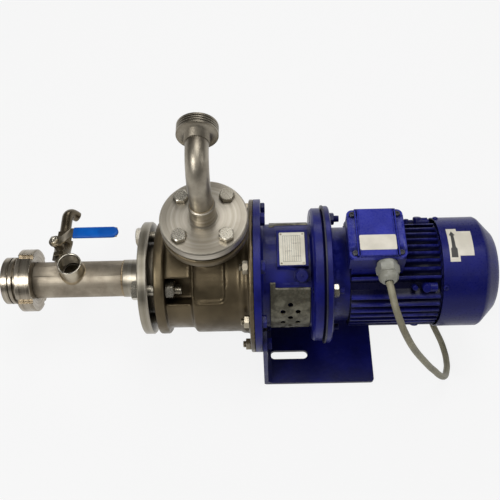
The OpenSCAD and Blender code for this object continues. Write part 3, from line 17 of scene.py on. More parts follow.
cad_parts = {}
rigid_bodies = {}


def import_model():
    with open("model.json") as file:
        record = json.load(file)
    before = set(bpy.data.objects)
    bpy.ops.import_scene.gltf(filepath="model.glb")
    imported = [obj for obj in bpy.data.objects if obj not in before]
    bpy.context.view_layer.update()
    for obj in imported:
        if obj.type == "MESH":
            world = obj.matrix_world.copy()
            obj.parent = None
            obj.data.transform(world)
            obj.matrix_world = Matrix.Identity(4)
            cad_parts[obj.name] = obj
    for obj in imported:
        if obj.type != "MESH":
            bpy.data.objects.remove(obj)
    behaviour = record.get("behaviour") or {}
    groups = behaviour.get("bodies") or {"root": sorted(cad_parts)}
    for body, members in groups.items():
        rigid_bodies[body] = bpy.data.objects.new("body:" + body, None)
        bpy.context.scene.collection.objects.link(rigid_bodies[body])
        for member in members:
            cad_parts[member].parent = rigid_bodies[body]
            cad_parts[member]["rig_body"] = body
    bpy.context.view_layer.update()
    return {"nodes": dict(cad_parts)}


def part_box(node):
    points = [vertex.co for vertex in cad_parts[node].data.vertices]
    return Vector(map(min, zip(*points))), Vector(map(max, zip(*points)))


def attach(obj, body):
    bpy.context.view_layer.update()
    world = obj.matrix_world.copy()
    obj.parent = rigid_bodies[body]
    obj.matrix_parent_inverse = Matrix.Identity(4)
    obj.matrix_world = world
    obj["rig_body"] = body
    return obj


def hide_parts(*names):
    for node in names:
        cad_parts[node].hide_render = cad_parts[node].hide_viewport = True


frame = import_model()
nodes = frame["nodes"]

# %% Places that several pieces share
mm = 0.001
X, Y, Z = np.eye(3)


def metres(*rows):
    """Numbers, or rows of numbers, that are written in millimetres, as one array in metres."""
    return np.array(rows, float)*mm


shaft, outlet_x, socket_x, valve_x = metres(132, -156, -358.5, -386)
valve_y, pipe_r = metres(50, 26.5)
on_shaft = np.array([0, 0, shaft])
diagonals = np.array([45.0, 135, 225, 315])
print("the shaft turns", round(shaft, 3), "m above the floor, the outlet stands at x", round(outlet_x, 3))

# %% [markdown]
# ## The camera
# The photograph looks steeply down on the pump, a little from the suction side. The place and the angles were
# solved from the known sizes of the flanges. A camera is built from three directions: where it looks, what is
# right for it and what is up. Written as the columns of a matrix, they turn it exactly.

# %% Camera
camera_at = (-0.0737, -0.5104, 1.0641)
yaw, pitch, roll = np.radians([-2.83, 59.23, -3.74])
focal_length, film_width = 51.87, 36


def looking(yaw, pitch, roll):
    """Rotation of a camera that looks along yaw, dips by pitch and leans by roll."""
    ahead = np.array([np.sin(yaw)*np.cos(pitch), np.cos(yaw)*np.cos(pitch), -np.sin(pitch)])
    level = np.array([np.cos(yaw), -np.sin(yaw), 0])
    above = np.cross(level, ahead)
    right = np.cos(roll)*level + np.sin(roll)*above
    up = -np.sin(roll)*level + np.cos(roll)*above
    return Matrix(np.column_stack([right, up, -ahead]).tolist()).to_4x4()


view = bpy.data.objects.new("camera", bpy.data.cameras.new("camera"))
view.data.lens, view.data.sensor_width = focal_length, film_width
view.matrix_world = Matrix.Translation(camera_at) @ looking(yaw, pitch, roll)
bpy.context.scene.collection.objects.link(view)
bpy.context.scene.camera = view
print("the camera stands", round(view.location.z, 3), "m above the floor")

# %% [markdown]
# ## Making surfaces
# Every new piece is a grid of points: one ring of points after another, worked out by a formula as one array.
# Four neighbours on the grid are a face. Blender could also build such forms with its own tubes and bevels,
# but a formula keeps every size in plain sight and the faces in clean rows.

# %% Arrays into meshes
def patch(points, around=True, along=False, caps=(False, False)):
    """Corners and faces of a grid points[i, j]: j runs round a ring and i from ring to ring. A wrapped
    direction joins its last row to its first, and a cap closes an end ring with a fan about its middle."""
    points = np.asarray(points, float)
    rows, cols = points.shape[:2]
    index = np.arange(rows*cols).reshape(rows, cols)
    a = index if along else index[:-1]
    b = np.roll(index, -1, 0) if along else index[1:]
    if around:
        a2, b2 = np.roll(a, -1, 1), np.roll(b, -1, 1)
    else:
        a, a2, b, b2 = a[:, :-1], a[:, 1:], b[:, :-1], b[:, 1:]
    faces = np.stack([a, a2, b2, b], -1).reshape(-1, 4).tolist()
    corners = points.reshape(-1, 3)
    for end, wanted in ((0, caps[0]), (-1, caps[1])):
        if wanted:
            ring = index[end]
            middle = len(corners)
            corners = np.vstack([corners, points[end].mean(0)])
            turn = np.roll(ring, -1)
            first, second = (turn, ring) if end == 0 else (ring, turn)
            faces += np.column_stack([first, second, np.full(len(ring), middle)]).tolist()
    return corners, faces


def dress(name, mesh, finish, body, sharp=None):
    """An object from a mesh that rides on a body: one finish, smooth up to the sharp angle in degrees."""
    made = bpy.data.objects.new(name, mesh)
    bpy.context.scene.collection.objects.link(made)
    mesh.shade_smooth()
    if sharp:
        mesh.set_sharp_from_angle(angle=math.radians(sharp))
    mesh.materials.clear()
    mesh.materials.append(finish)
    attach(made, body)
    return made


def piece(name, patches, body, finish, sharp=35, swaps=()):
    """One object of several patches, which stands in for the nodes in swaps or only adds to them."""
    corners = np.vstack([p[0] for p in patches])
    starts = np.cumsum([0] + [len(p[0]) for p in patches[:-1]])
    faces = [[c + int(s) for c in face] for s, p in zip(starts, patches) for face in p[1]]
    mesh = bpy.data.meshes.new(name)
    mesh.from_pydata(corners.tolist(), [], faces)
    mesh.validate()
    made = dress(name, mesh, finish, body, sharp)
    if swaps:
        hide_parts(*swaps)
    return made


# %% Directions, turned forms and tubes
def unit(v):
    """The same directions with a length of one."""
    return v/np.linalg.norm(v, axis=-1, keepdims=True)


def frame_of(axis):
    """An axis of length one and two directions square to it and to each other."""
    axis = unit(np.asarray(axis, float))
    side = unit(np.cross(Z if abs(axis[2]) < 0.9 else X, axis))
    return axis, side, np.cross(axis, side)


def full_turn(steps):
    """The angles of a full turn in even steps."""
    return np.linspace(0, 2*np.pi, steps, endpoint=False)


def spokes(sides, u, v):
    """Angles of a full turn, and for each the direction cos(angle)*u + sin(angle)*v."""
    angle = full_turn(sides)
    return angle, np.cos(angle)[:, None]*u + np.sin(angle)[:, None]*v


def turned(profile, at, axis=X, sides=96, caps=(True, True)):
    """A profile of (station, radius) turned about an axis: point = at + station*axis + radius*spoke."""
    axis, u, v = frame_of(axis)
    profile = np.asarray(profile, float)[:, :, None, None]
    return patch(np.asarray(at) + profile[:, 0]*axis + profile[:, 1]*spokes(sides, u, v)[1], caps=caps)


def swept(line, radius, sides=16, up=Z, caps=(True, True), order=None):
    """A round tube along a line: each ring is square to the line, and its first spoke to the direction up
    too. An order of rings that runs to the end and back again, with a smaller radius, makes a wall."""
    line = np.asarray(line, float)
    way = unit(np.gradient(line, axis=0))
    u = unit(np.cross(way, np.broadcast_to(up, line.shape)))
    v = np.cross(way, u)
    if order is not None:
        line, u, v = line[order], u[order], v[order]
    angle = full_turn(sides)
    spoke = np.cos(angle)[None, :, None]*u[:, None] + np.sin(angle)[None, :, None]*v[:, None]
    radius = np.broadcast_to(radius, len(line))[:, None, None]
    return patch(line[:, None] + radius*spoke, caps=caps)


def flowing(points, step):
    """A smooth line through the points: each stretch is a cubic whose slopes are half the way from the point
    before to the point after, cut into pieces of about one step."""
    p = np.asarray(points, float)
    slope = np.gradient(p, axis=0)
    length = np.linalg.norm(np.diff(p, axis=0), axis=1)
    count = np.maximum(2, np.round(length/step).astype(int))
    start = np.repeat(np.arange(len(p) - 1), count)
    t = np.concatenate([np.arange(n)/n for n in count])[:, None]
    line = ((2*t**3 - 3*t**2 + 1)*p[start] + (t**3 - 2*t**2 + t)*slope[start]
            + (3*t**2 - 2*t**3)*p[start + 1] + (t**3 - t**2)*slope[start + 1])
    return np.vstack([line, p[-1]])


# %% Threads and hexagons
def threaded(length, radius, at, axis, pitch, depth, sides=32, caps=(False, True)):
    """A screw thread: the radius dips once in each pitch, and the dip moves round with the angle, so that
    radius(s, a) = radius - depth*w(s/pitch - a/360), w being a wave between 0 and 1, with a bevelled tip."""
    axis, u, v = frame_of(axis)
    s = np.linspace(0, length, int(length/pitch*8) + 2)[:, None]
    angle, spoke = spokes(sides, u, v)
    wave = np.abs((s/pitch - angle/(2*np.pi)) % 1*2 - 1)
    reach = np.minimum(radius - depth*wave, radius - depth + np.maximum(0, length - s))[..., None]
    return patch(np.asarray(at) + s[..., None]*axis + reach*spoke, caps=caps)


def hexagon(height, across, at, axis, corner, bore=0.0, ends=(True, True)):
    """A hexagon head or nut whose first corner lies towards the direction corner. A flat lies at
    (across/2)/cos(a) from the middle, a being the angle from the flat's middle. At a bevelled end a cone of
    30 degrees takes the corners off, so the radius is the smaller of flat and cone."""
    sides, cone_share, cone_steps = 72, 0.47, 5
    axis = unit(np.asarray(axis, float))
    u = unit(np.asarray(corner, float) - np.dot(corner, axis)*axis)
    angle, spoke = spokes(sides, u, np.cross(axis, u))
    flat = across/2/np.cos(angle % (np.pi/3) - np.pi/6)
    inner = cone_share*across
    steps = (across/np.sqrt(3) - inner)/np.sqrt(3)*np.linspace(0, 1, cone_steps)
    s = np.concatenate([steps if ends[0] else [0], height - steps[::-1] if ends[1] else [height]])
    from_end = np.minimum(s if ends[0] else np.inf, height - s if ends[1] else np.inf)
    radius = np.minimum(flat, (inner + np.sqrt(3)*from_end)[:, None])
    if bore:
        s = np.concatenate([[0], s, [height]])
        radius = np.vstack([np.full(sides, bore), radius, np.full(sides, bore)])
    points = np.asarray(at) + s[:, None, None]*axis + radius[..., None]*spoke
    return patch(points, along=bool(bore), caps=(not bore, not bore))


# %% [markdown]
# ## A kit for finishes
# A finish is a small net of shader nodes. Reading coordinates from the object keeps grain and scratches at
# their true scale on every piece, because all pieces share one frame. These helpers only shorten the wiring.

# %% Helpers for materials
class Finish:
    """A material whose nodes are added call by call. Each call gives back the socket to plug in next."""

    def __init__(self, name, **fixed):
        self.material = bpy.data.materials.new(name)
        self.material.use_nodes = True
        self.tree = self.material.node_tree
        self.shader = self.tree.nodes["Principled BSDF"]
        self.place = self.add("ShaderNodeTexCoord").outputs["Object"]
        for socket, value in fixed.items():
            self.shader.inputs[socket.replace("_", " ")].default_value = value

    def plug(self, value, socket):
        """A socket is linked, and a number, vector or colour is written into the input."""
        if isinstance(value, bpy.types.NodeSocket):
            self.tree.links.new(value, socket)
        else:
            socket.default_value = value

    def add(self, kind, inputs=None, **settings):
        """A node with its inputs plugged and its settings set."""
        made = self.tree.nodes.new(kind)
        for key, value in settings.items():
            setattr(made, key, value)
        for key, value in (inputs or {}).items():
            self.plug(value, made.inputs[key])
        return made

    def stretched(self, scale):
        """The object's own coordinates, drawn out or pressed together along each axis."""
        return self.add("ShaderNodeMapping", {"Vector": self.place, "Scale": scale}).outputs[0]

    def vector(self, what, a, b=(0, 0, 0), out=0):
        """One step of reckoning with two vectors."""
        return self.add("ShaderNodeVectorMath", {0: a, 1: b}, operation=what).outputs[out]

    def noise(self, scale, detail=4, rough=0.55, place=None):
        """A cloud of values between 0 and 1. A larger scale makes a finer grain."""
        return self.add("ShaderNodeTexNoise", {"Vector": place or self.place, "Scale": scale,
                                               "Detail": detail, "Roughness": rough}).outputs["Fac"]

    def calc(self, what, a, b):
        """One step of reckoning with two numbers."""
        return self.add("ShaderNodeMath", {0: a, 1: b}, operation=what).outputs[0]

    def fade(self, value, low, high, to_low=0.0, to_high=1.0):
        """A soft step: to_low below the value low, to_high above high."""
        return self.add("ShaderNodeMapRange", {"Value": value, "From Min": low, "From Max": high,
                                               "To Min": to_low, "To Max": to_high},
                        interpolation_type="SMOOTHSTEP").outputs[0]

    def blend(self, share, a, b):
        """Colour a at a share of 0 and colour b at 1. The colours are a Mix node's inputs 6 and 7."""
        made = self.add("ShaderNodeMix", {"Factor": share}, data_type="RGBA")
        for key, value in ((6, a), (7, b)):
            self.plug((*value, 1) if isinstance(value, tuple) else value, made.inputs[key])
        return made.outputs[2]

    def bump(self, height, depth, normal=None):
        """A normal that leans with the height, as if the skin were that deep."""
        inputs = {"Height": height, "Distance": depth}
        if normal:
            inputs["Normal"] = normal
        return self.add("ShaderNodeBump", inputs).outputs[0]

    def rounded(self, radius):
        """The normal of the surface as if its edges were rounded by that radius."""
        return self.add("ShaderNodeBevel", {"Radius": radius}, samples=4).outputs[0]

    def nooks(self, reach):
        """How open a point lies: 0 deep in a corner, 1 in the open. It looks no further than the reach."""
        return self.add("ShaderNodeAmbientOcclusion", {"Distance": reach}, samples=6).outputs["AO"]

    def painted_corner_shade(self, colour, reach, low, high, most, shade_colour):
        """Painted shade in the corners: a share of most where a point lies deeper than low, and none above
        high.
        """
        return self.blend(self.fade(self.nooks(reach), low, high, most, 0.0), colour, shade_colour)

    def wire(self, **sockets):
        """Links each socket to the shader's input of that name, and gives back the material."""
        for socket, value in sockets.items():
            self.tree.links.new(value, self.shader.inputs[socket.replace("_", " ")])
        return self.material


def tone(red, green, blue):
    """A colour written as 0 to 255 on the screen, turned into the linear numbers that a shader wants."""
    c = np.array([red, green, blue])/255
    return tuple(float(v) for v in np.where(c <= 0.04045, c/12.92, ((c + 0.055)/1.055)**2.4))


# %% [markdown]
# ## The motor cable
# A grey rubber cable leaves the gland, hangs in a long bow and lies on the floor. The photograph shows about
# 0.4 m of it. The rest, down to the plug, is wound into a coil of two layers behind the motor. The free bow
# is a list of points, the coil a formula, and one round tube runs along both. A curve object would do as
# well, but a mesh can carry its own length as UV, so that the jacket's fine grain follows it.

# %% The cable's line
cable_d, point_step = metres(9.5, 3)
gland_x, gland_z, exit_y, box_side_y = metres(83.66, 227, -67, -38)
exit_point = np.array([gland_x, exit_y, gland_z])
bow = metres([85, -76, 227], [86, -85, 226], [89, -100, 220.5], [94, -113, 212], [99.5, -123.5, 202],
             [108, -132, 186], [116, -134.5, 168.5], [124.5, -135.5, 150.5], [133.5, -136, 133],
             [142.5, -136, 115.5], [151, -136, 99.5], [160, -135.5, 84], [168.5, -134.5, 67.5],
             [177, -131.5, 51.5], [184, -126, 37.5], [189.5, -118, 26], [196, -102, 13.5], [198, -90.5, 8],
             [198.5, -78, 5.05], [195.5, -58.5, 5.05], [190, -39.5, 5.05], [186.5, -28, 5.05],
             [184.5, -17, 5.05], [185.5, -5, 5.05], [190, 5.5, 5.05])
coil_x, coil_y, coil_r, coil_pitch = metres(158, 66, 64, 11.5)
low_layer, layer_pitch = metres(5.05, 10.5)
coil_from, points_in_turn = -45, 24
low_turns, climb, high_turns = 2.25, 0.5, 1.625


def coil_angle(turn):
    """The angle that the coil has reached after so many turns."""
    return np.radians(coil_from + 360*turn)


def coil(turn):
    """The coil's line: a spiral that shrinks by one pitch a turn, climbs one layer and grows again."""
    past = turn - low_turns
    radius = coil_r - coil_pitch*np.minimum(turn, low_turns) + coil_pitch*np.maximum(0, past - climb)
    height = low_layer + layer_pitch*np.clip(past/climb, 0, 1)
    angle = coil_angle(turn)
    return np.column_stack([coil_x + radius*np.cos(angle), coil_y + radius*np.sin(angle), height])


def heading(angle):
    """The direction along a circle at an angle."""
    return np.array([-np.sin(angle), np.cos(angle), 0])


all_turns = low_turns + climb + high_turns
turns = np.linspace(0, all_turns, round(all_turns*points_in_turn) + 1)
winding = coil(turns)
end_way = heading(coil_angle(all_turns))
lead_in = winding[0] - cable_d*heading(coil_angle(0))
lead_out = winding[-1] + cable_d*end_way
cable_line = flowing(np.vstack([exit_point, bow, lead_in, winding, lead_out]), point_step)
cable_length = float(np.linalg.norm(np.diff(cable_line, axis=0), axis=1).sum())
print("the cable is", round(cable_length, 3), "m long and its coil has", all_turns, "turns")

# %% [markdown]
# ## Finishes of the pump end
# The wetted parts are stainless steel in four states. The casing is cast and blasted, so it is a dull
# brownish grey with a sandy skin. The flanges are turned on a lathe: fine grooves run round and pull each
# highlight into a fan, which an anisotropic shader gives when its tangent runs round the axis. The pipes are
# ground to a satin, and the screws are bright. A flat grey for all of them would look like plastic.

# %% Three kinds of steel
def cast_steel(name, light, dark, rough, grain):
    """Blasted cast steel: cloudy colour, painted shade in the corners and a sandy skin."""
    f = Finish(name, Metallic=0.82)
    cloud = f.noise(9, 4, 0.55)
    speck = f.noise(700, 3, 0.6)
    colour = f.blend(f.fade(cloud, 0.3, 0.72), dark, light)
    colour = f.blend(f.fade(speck, 0.58, 0.76, 0.0, 0.25), colour, tuple(0.45*v for v in dark))
    # Painted shade: darker brown where a point lies deep in a corner
    colour = f.painted_corner_shade(colour, 14*mm, 0.25, 0.95, 0.85, tone(38, 31, 22))
    soft = f.rounded(1.2*mm)
    sand = f.calc("ADD", f.noise(900, 3, 0.65), f.calc("MULTIPLY", f.noise(220, 3), 0.6))
    skin = f.bump(sand, 0.22*mm*grain, soft)
    return f.wire(Base_Color=colour, Roughness=f.fade(f.noise(60, 4), 0.3, 0.7, rough - 0.07, rough + 0.1),
                  Normal=skin)


def turned_steel(name, light, dark, centre, axis, rough, pull):
    """Steel turned about an axis: the tangent is the axis crossed with the way out from the centre, and a
    noise that knows only the distance from the axis and the place along it draws the grooves. A pull above
    0 draws highlights out."""
    f = Finish(name, Metallic=1.0, Anisotropic=pull)
    out = f.vector("SUBTRACT", f.place, centre)
    round_way = f.vector("CROSS_PRODUCT", axis, out)
    radius = f.vector("LENGTH", round_way, out="Value")
    along = f.vector("DOT_PRODUCT", out, axis, "Value")
    tangent = f.vector("NORMALIZE", round_way)
    track = f.add("ShaderNodeCombineXYZ", {"X": radius, "Y": along}).outputs[0]
    grooves = f.noise(900, 2, 0.5, track)
    bands = f.noise(240, 3, 0.6, track)
    stain = f.noise(28, 4, 0.6)
    colour = f.blend(f.fade(bands, 0.2, 0.8), dark, light)
    colour = f.blend(f.fade(stain, 0.5, 0.75, 0.0, 0.4), colour, dark)
    rough_map = f.calc("ADD", f.fade(bands, 0.3, 0.7, rough - 0.02, rough + 0.03),
                       f.fade(stain, 0.45, 0.8, 0.0, 0.1))
    # Painted shade: darker brown in the corners
    colour = f.painted_corner_shade(colour, 8*mm, 0.2, 0.8, 0.8, tone(46, 39, 30))
    skin = f.bump(grooves, (0.03 if pull else 0.008)*mm, f.rounded(0.5*mm))
    if pull:
        f.wire(Tangent=tangent)
    return f.wire(Base_Color=colour, Roughness=rough_map, Normal=skin)


def satin_steel(name, light, dark, rough, stretch=(1, 1, 1), depth=0.025*mm):
    """Ground steel with fine scratches of that depth, cloudy hand marks and brown painted shade in the
    corners.
    """
    f = Finish(name, Metallic=1.0)
    scratch = f.noise(900, 3, 0.7, f.stretched(stretch))
    cloud = f.noise(22, 5, 0.65)
    colour = f.blend(f.fade(cloud, 0.2, 0.75), dark, light)
    # Painted shade: darker brown in the corners
    colour = f.painted_corner_shade(colour, 8*mm, 0.2, 0.85, 0.8, tone(40, 34, 26))
    rough_map = f.calc("ADD", f.fade(scratch, 0.3, 0.7, rough - 0.06, rough + 0.06),
                       f.fade(cloud, 0.4, 0.7, 0.08, 0.0))
    return f.wire(Base_Color=colour, Roughness=rough_map, Normal=f.bump(scratch, depth, f.rounded(0.4*mm)))


# %% The steels of this pump
counter_x, union_x, fine_scratch = metres(-250, -440, 0.006)
casing_steel = cast_steel("blasted casing steel", tone(106, 94, 72), tone(70, 60, 43), 0.37, 0.45)
valve_steel = cast_steel("cast valve steel", tone(136, 125, 104), tone(68, 59, 44), 0.24, 0.5)
flange_steel = turned_steel("turned flange steel", tone(166, 160, 147), tone(132, 125, 110),
                            (counter_x, 0, shaft), X, 0.3, 0.35)
outlet_steel = turned_steel("turned outlet steel", tone(188, 181, 168), tone(138, 131, 118),
                            (outlet_x, 0, shaft), Z, 0.36, 0.55)
union_steel = turned_steel("turned union steel", tone(180, 171, 156), tone(124, 115, 100),
                           (union_x, 0, shaft), X, 0.27, 0.0)
pipe_steel = satin_steel("ground pipe steel", tone(174, 164, 147), tone(126, 116, 101), 0.52)
riser_steel = satin_steel("ground outlet steel", tone(162, 155, 141), tone(116, 108, 95), 0.33)
screw_steel = satin_steel("bright screw steel", tone(196, 190, 176), tone(150, 143, 128), 0.24,
                          depth=fine_scratch)
nut_steel = satin_steel("dull nut steel", tone(188, 179, 160), tone(126, 116, 98), 0.3, depth=fine_scratch)
print("steel finishes:", len(bpy.data.materials))

# %% [markdown]
# ## Paint, rubber, plastic and vinyl
# The motor, the lantern, the foot and most screws wear the same thick ultramarine paint, in near tones; the
# foot's is darker as painted shade and the lid's lighter as painted light. Up close it has an orange-peel
# skin, darker clouds, dust, painted shade in the corners and thin lighter rims painted along the edges as
# highlights. The rims come from comparing the true normal with a rounded one, because they differ only near
# an edge. Rubber,
# plastic and vinyl are plainer: two near colours and a fine grain. The guards stay raw sheet.

# %% Paint
def paint(name, light, dark, rim, rough=0.33, peel=1.0, root=None):
    """Thick enamel over castings: clouds of two blues, orange peel, lighter rims painted along the edges as
    highlights and painted shade in the corners. Between the fins, at a distance from the shaft near root, the
    painted shade is deeper still."""
    f = Finish(name, Coat_Weight=0.04, Coat_Roughness=0.12, Specular_IOR_Level=0.16)
    cloud = f.noise(14, 5, 0.6)
    fine = f.noise(420, 3, 0.6)
    soft = f.rounded(1.3*mm)
    facing = f.add("ShaderNodeNewGeometry").outputs["True Normal"]
    match = f.vector("DOT_PRODUCT", soft, facing, "Value")
    # Painted highlight: a lighter rim colour near an edge, where the rounded normal leaves the true one,
    # broken up by noise
    edge_highlight = f.calc("MULTIPLY", f.fade(match, 0.985, 0.86), f.fade(f.noise(130, 4, 0.7), 0.42, 0.62))
    colour = f.blend(f.fade(cloud, 0.36, 0.66), dark, light)
    specks = f.fade(f.noise(150, 6, 0.75), 0.5, 0.8)
    dust = f.calc("MULTIPLY", specks, f.fade(f.noise(9, 3), 0.4, 0.65, 0.0, 0.1))
    colour = f.blend(dust, colour, tone(90, 88, 130))
    colour = f.blend(f.calc("MULTIPLY", edge_highlight, 0.5), colour, rim)
    # Painted shade: near-black blue in the corners
    colour = f.painted_corner_shade(colour, 16*mm, 0.3, 0.95, 0.8, tone(7, 7, 30))
    # Painted shade between the fins: near-black blue below the radius root
    if root:
        axle = f.vector("MULTIPLY", f.vector("SUBTRACT", f.place, on_shaft), (0, 1, 1))
        away = f.vector("LENGTH", axle, out="Value")
        colour = f.blend(f.fade(away, root, root + 4.5*mm, 0.9, 0.0), colour, tone(5, 5, 26))
    orange_peel = f.calc("ADD", f.noise(190, 2, 0.5), f.calc("MULTIPLY", fine, 0.35))
    skin = f.bump(orange_peel, 0.2*mm*peel, soft)
    sheen = f.fade(fine, 0.3, 0.7, rough - 0.05, rough + 0.12)
    return f.wire(Base_Color=colour, Roughness=sheen, Normal=skin)


fin_root = 71.2*mm
# The third colour of each paint is its painted edge highlight
blue_paint = paint("ultramarine enamel", tone(20, 24, 108), tone(11, 14, 78), tone(50, 54, 134))
cover_paint = paint("ultramarine sheet enamel", tone(20, 24, 100), tone(13, 16, 78), tone(56, 60, 136),
                    0.3, 0.5)
frame_paint = paint("ultramarine frame enamel", tone(22, 26, 112), tone(12, 15, 80), tone(64, 68, 142),
                    0.3, 0.2, fin_root)
# Painted shade: the foot's enamel is darker, as the foot stands in shade
shaded_foot_paint = paint("ultramarine foot enamel", tone(12, 15, 84), tone(7, 9, 60), tone(34, 38, 110))
# Painted light: the lid's enamel is lighter, as the lid faces the light from above
lit_lid_paint = paint("ultramarine lid enamel", tone(50, 55, 152), tone(36, 41, 128), tone(96, 100, 176),
                  0.26, 0.3)
print("with five paints there are", len(bpy.data.materials), "finishes")


# %% Rubber, plastic, fibre and labels
def moulded(name, light, dark, rough=0.5, grain=300, depth=0.06, coat=0.0, shine=0.5):
    """Moulded or extruded stuff: two near colours in small clouds, and an even fine grain. Its depth is in
    millimetres."""
    f = Finish(name, Coat_Weight=coat, Coat_Roughness=0.2, Specular_IOR_Level=shine)
    colour = f.blend(f.fade(f.noise(40, 4, 0.6), 0.35, 0.68), dark, light)
    return f.wire(Base_Color=colour, Roughness=f.fade(f.noise(120, 3), 0.3, 0.7, rough - 0.06, rough + 0.08),
                  Normal=f.bump(f.noise(grain, 3, 0.6), depth*mm, f.rounded(0.4*mm)))


black_rubber = moulded("black rubber", tone(44, 43, 42), tone(22, 21, 21), 0.6)
gasket_fibre = moulded("gasket fibre", tone(58, 58, 50), tone(34, 34, 30), 0.75, 500, 0.12)
sleeve_vinyl = moulded("blue vinyl", tone(0, 88, 178), tone(0, 74, 158), 0.36, 160, 0.03, 0.0, 0.18)
joint_rubber = moulded("painted over joint", tone(20, 20, 52), tone(10, 10, 30), 0.5)
gland_plastic = moulded("grey gland plastic", tone(156, 156, 146), tone(126, 125, 114), 0.42, 260, 0.05)
dark_screw = moulded("blackened screw", tone(30, 30, 44), tone(16, 16, 26), 0.4, coat=0.2)
fan_plastic = moulded("dark fan plastic", tone(52, 54, 56), tone(34, 36, 38), 0.5)
print_ink = moulded("printing ink", tone(58, 56, 54), tone(40, 38, 37), 0.5, 60, 0.01)
plate_metal = moulded("cream plate enamel", tone(216, 212, 196), tone(196, 190, 172), 0.34, 90, 0.02)
seat_plastic = moulded("white seat plastic", tone(228, 226, 214), tone(206, 203, 190), 0.4)
seal_ceramic = moulded("seal ceramic", tone(222, 218, 206), tone(200, 194, 180), 0.25)
label_film = moulded("white label film", tone(214, 208, 194), tone(198, 192, 177), 0.42, 60, 0.04)
inner_steel = satin_steel("plain inner steel", tone(176, 172, 164), tone(120, 115, 106), 0.35)
core_steel = satin_steel("laminated core steel", tone(112, 106, 98), tone(74, 70, 64), 0.45, (30, 1, 1))
socket_steel = satin_steel("socket steel", tone(186, 176, 156), tone(126, 114, 94), 0.3)
coil_copper = satin_steel("winding copper", tone(176, 98, 52), tone(120, 60, 30), 0.36, (1, 6, 6))


# %% Perforated guard
def guard_finish():
    """Raw perforated sheet: mottled grey steel with brown bloom and darker smears."""
    f = Finish("raw guard sheet", Metallic=0.75)
    blot = f.noise(70, 6, 0.7)
    colour = f.blend(f.fade(blot, 0.4, 0.62), tone(74, 71, 60), tone(104, 101, 87))
    colour = f.blend(f.fade(f.noise(170, 5, 0.7), 0.55, 0.7, 0.0, 0.35), colour, tone(90, 72, 50))
    return f.wire(Base_Color=colour, Roughness=f.fade(blot, 0.35, 0.65, 0.55, 0.36),
                  Normal=f.bump(f.noise(420, 4), 0.08*mm, f.rounded(0.4*mm)))


guard_steel = guard_finish()
print("finishes so far:", len(bpy.data.materials))


# %% [markdown]
# ## Dressing the solids whose shape is already right
# The CAD solids are loose triangles, so a curve shows its facets. Where a surface is curved and seen, a copy
# of the solid gets its doubles merged and smooth shading up to a sharp angle, and stands in for the node.
# The casting gets a new skin instead, because a sand casting has no sharp corner. The rest get a finish only.

# %% Copies with smooth curves
merge_gap = 0.002*mm


def smoothed(name, node, finish, sharp=28):
    """A merged copy of a CAD solid, shaded smooth where neighbours meet at less than the sharp angle."""
    net = bmesh.new()
    net.from_mesh(nodes[node].data)
    bmesh.ops.remove_doubles(net, verts=net.verts, dist=merge_gap)
    mesh = bpy.data.meshes.new(name)
    net.to_mesh(mesh)
    net.free()
    made = dress(name, mesh, finish, nodes[node]["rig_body"], sharp)
    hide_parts(node)


curved = {"counter_flange": ("counter_disc", flange_steel, 12),
          "suction_pipe": ("inlet_pipe", pipe_steel, 12),
          "riser_flange": ("outlet_disc", outlet_steel, 12), "riser_pipe": ("outlet_pipe", riser_steel, 14),
          "lantern": ("lantern_body", blue_paint, 18), "guard_front": ("front_guard", guard_steel),
          "guard_rear": ("rear_guard", guard_steel), "union_nut": ("slotted_nut", union_steel, 12),
          "inlet_male": ("inlet_end", union_steel, 12), "valve_body": ("valve_shell", valve_steel),
          "valve_end_cap": ("valve_cap", valve_steel), "valve_lever": ("lever_strip", nut_steel),
          "flange_shield": ("motor_flange", blue_paint, 18), "motor_frame": ("finned_frame", frame_paint, 18),
          "fan_cover": ("fan_hood", cover_paint, 12), "terminal_lid": ("box_lid", lit_lid_paint),
          "valve_stem": ("valve_spindle", screw_steel)}
for node, (name, finish, *sharp) in curved.items():
    smoothed(name, node, finish, *sharp)
print("smooth copies:", len(curved))

# %% Solids that only get their finish
plain = {"casing_cover": casing_steel, "seal_housing": casing_steel, "casing_gasket": gasket_fibre,
         "impeller": inner_steel, "impeller_nut": inner_steel, "seal_seat": seal_ceramic,
         "seal_head": inner_steel, "stub_shaft": inner_steel, "flange_gaskets": gasket_fibre,
         "union_seal": black_rubber, "motor_gasket": joint_rubber, "valve_seats": seat_plastic,
         "valve_ball": screw_steel, "stator_core": core_steel, "stator_windings": coil_copper,
         "motor_shaft": inner_steel, "rotor_core": core_steel, "motor_bearings": inner_steel,
         "fan": fan_plastic, "rear_shield": blue_paint, "terminal_box": blue_paint, "foot": shaded_foot_paint}
for node, finish in plain.items():
    nodes[node].data.materials.clear()
    nodes[node].data.materials.append(finish)
print("solids with a finish alone:", len(plain))


# %% The casting's skin
def cast_skin(name, members, finish, grain, rounds):
    """One casting from several solids. A grid of cells of that grain is laid through them, a new skin is
    drawn round the filled cells, and each of its corners moves half the way to the mean of its neighbours, a
    few times over: that rounds the edges and fills the inner corners, as sand and blasting do."""
    net = bmesh.new()
    for node in members:
        net.from_mesh(nodes[node].data)
    joined = bpy.data.meshes.new(name)
    net.to_mesh(joined)
    net.free()
    source = bpy.data.objects.new(name, joined)
    bpy.context.scene.collection.objects.link(source)
    skin = source.modifiers.new("skin", "REMESH")
    skin.mode, skin.voxel_size = "VOXEL", grain
    ease = source.modifiers.new("ease", "SMOOTH")
    ease.factor, ease.iterations = 0.5, rounds
    mesh = bpy.data.meshes.new_from_object(source.evaluated_get(bpy.context.evaluated_depsgraph_get()))
    bpy.data.objects.remove(source)
    made = dress(name, mesh, finish, nodes[members[0]]["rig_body"])
    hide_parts(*members)
    print(name, "has", len(mesh.polygons), "faces after its new skin")


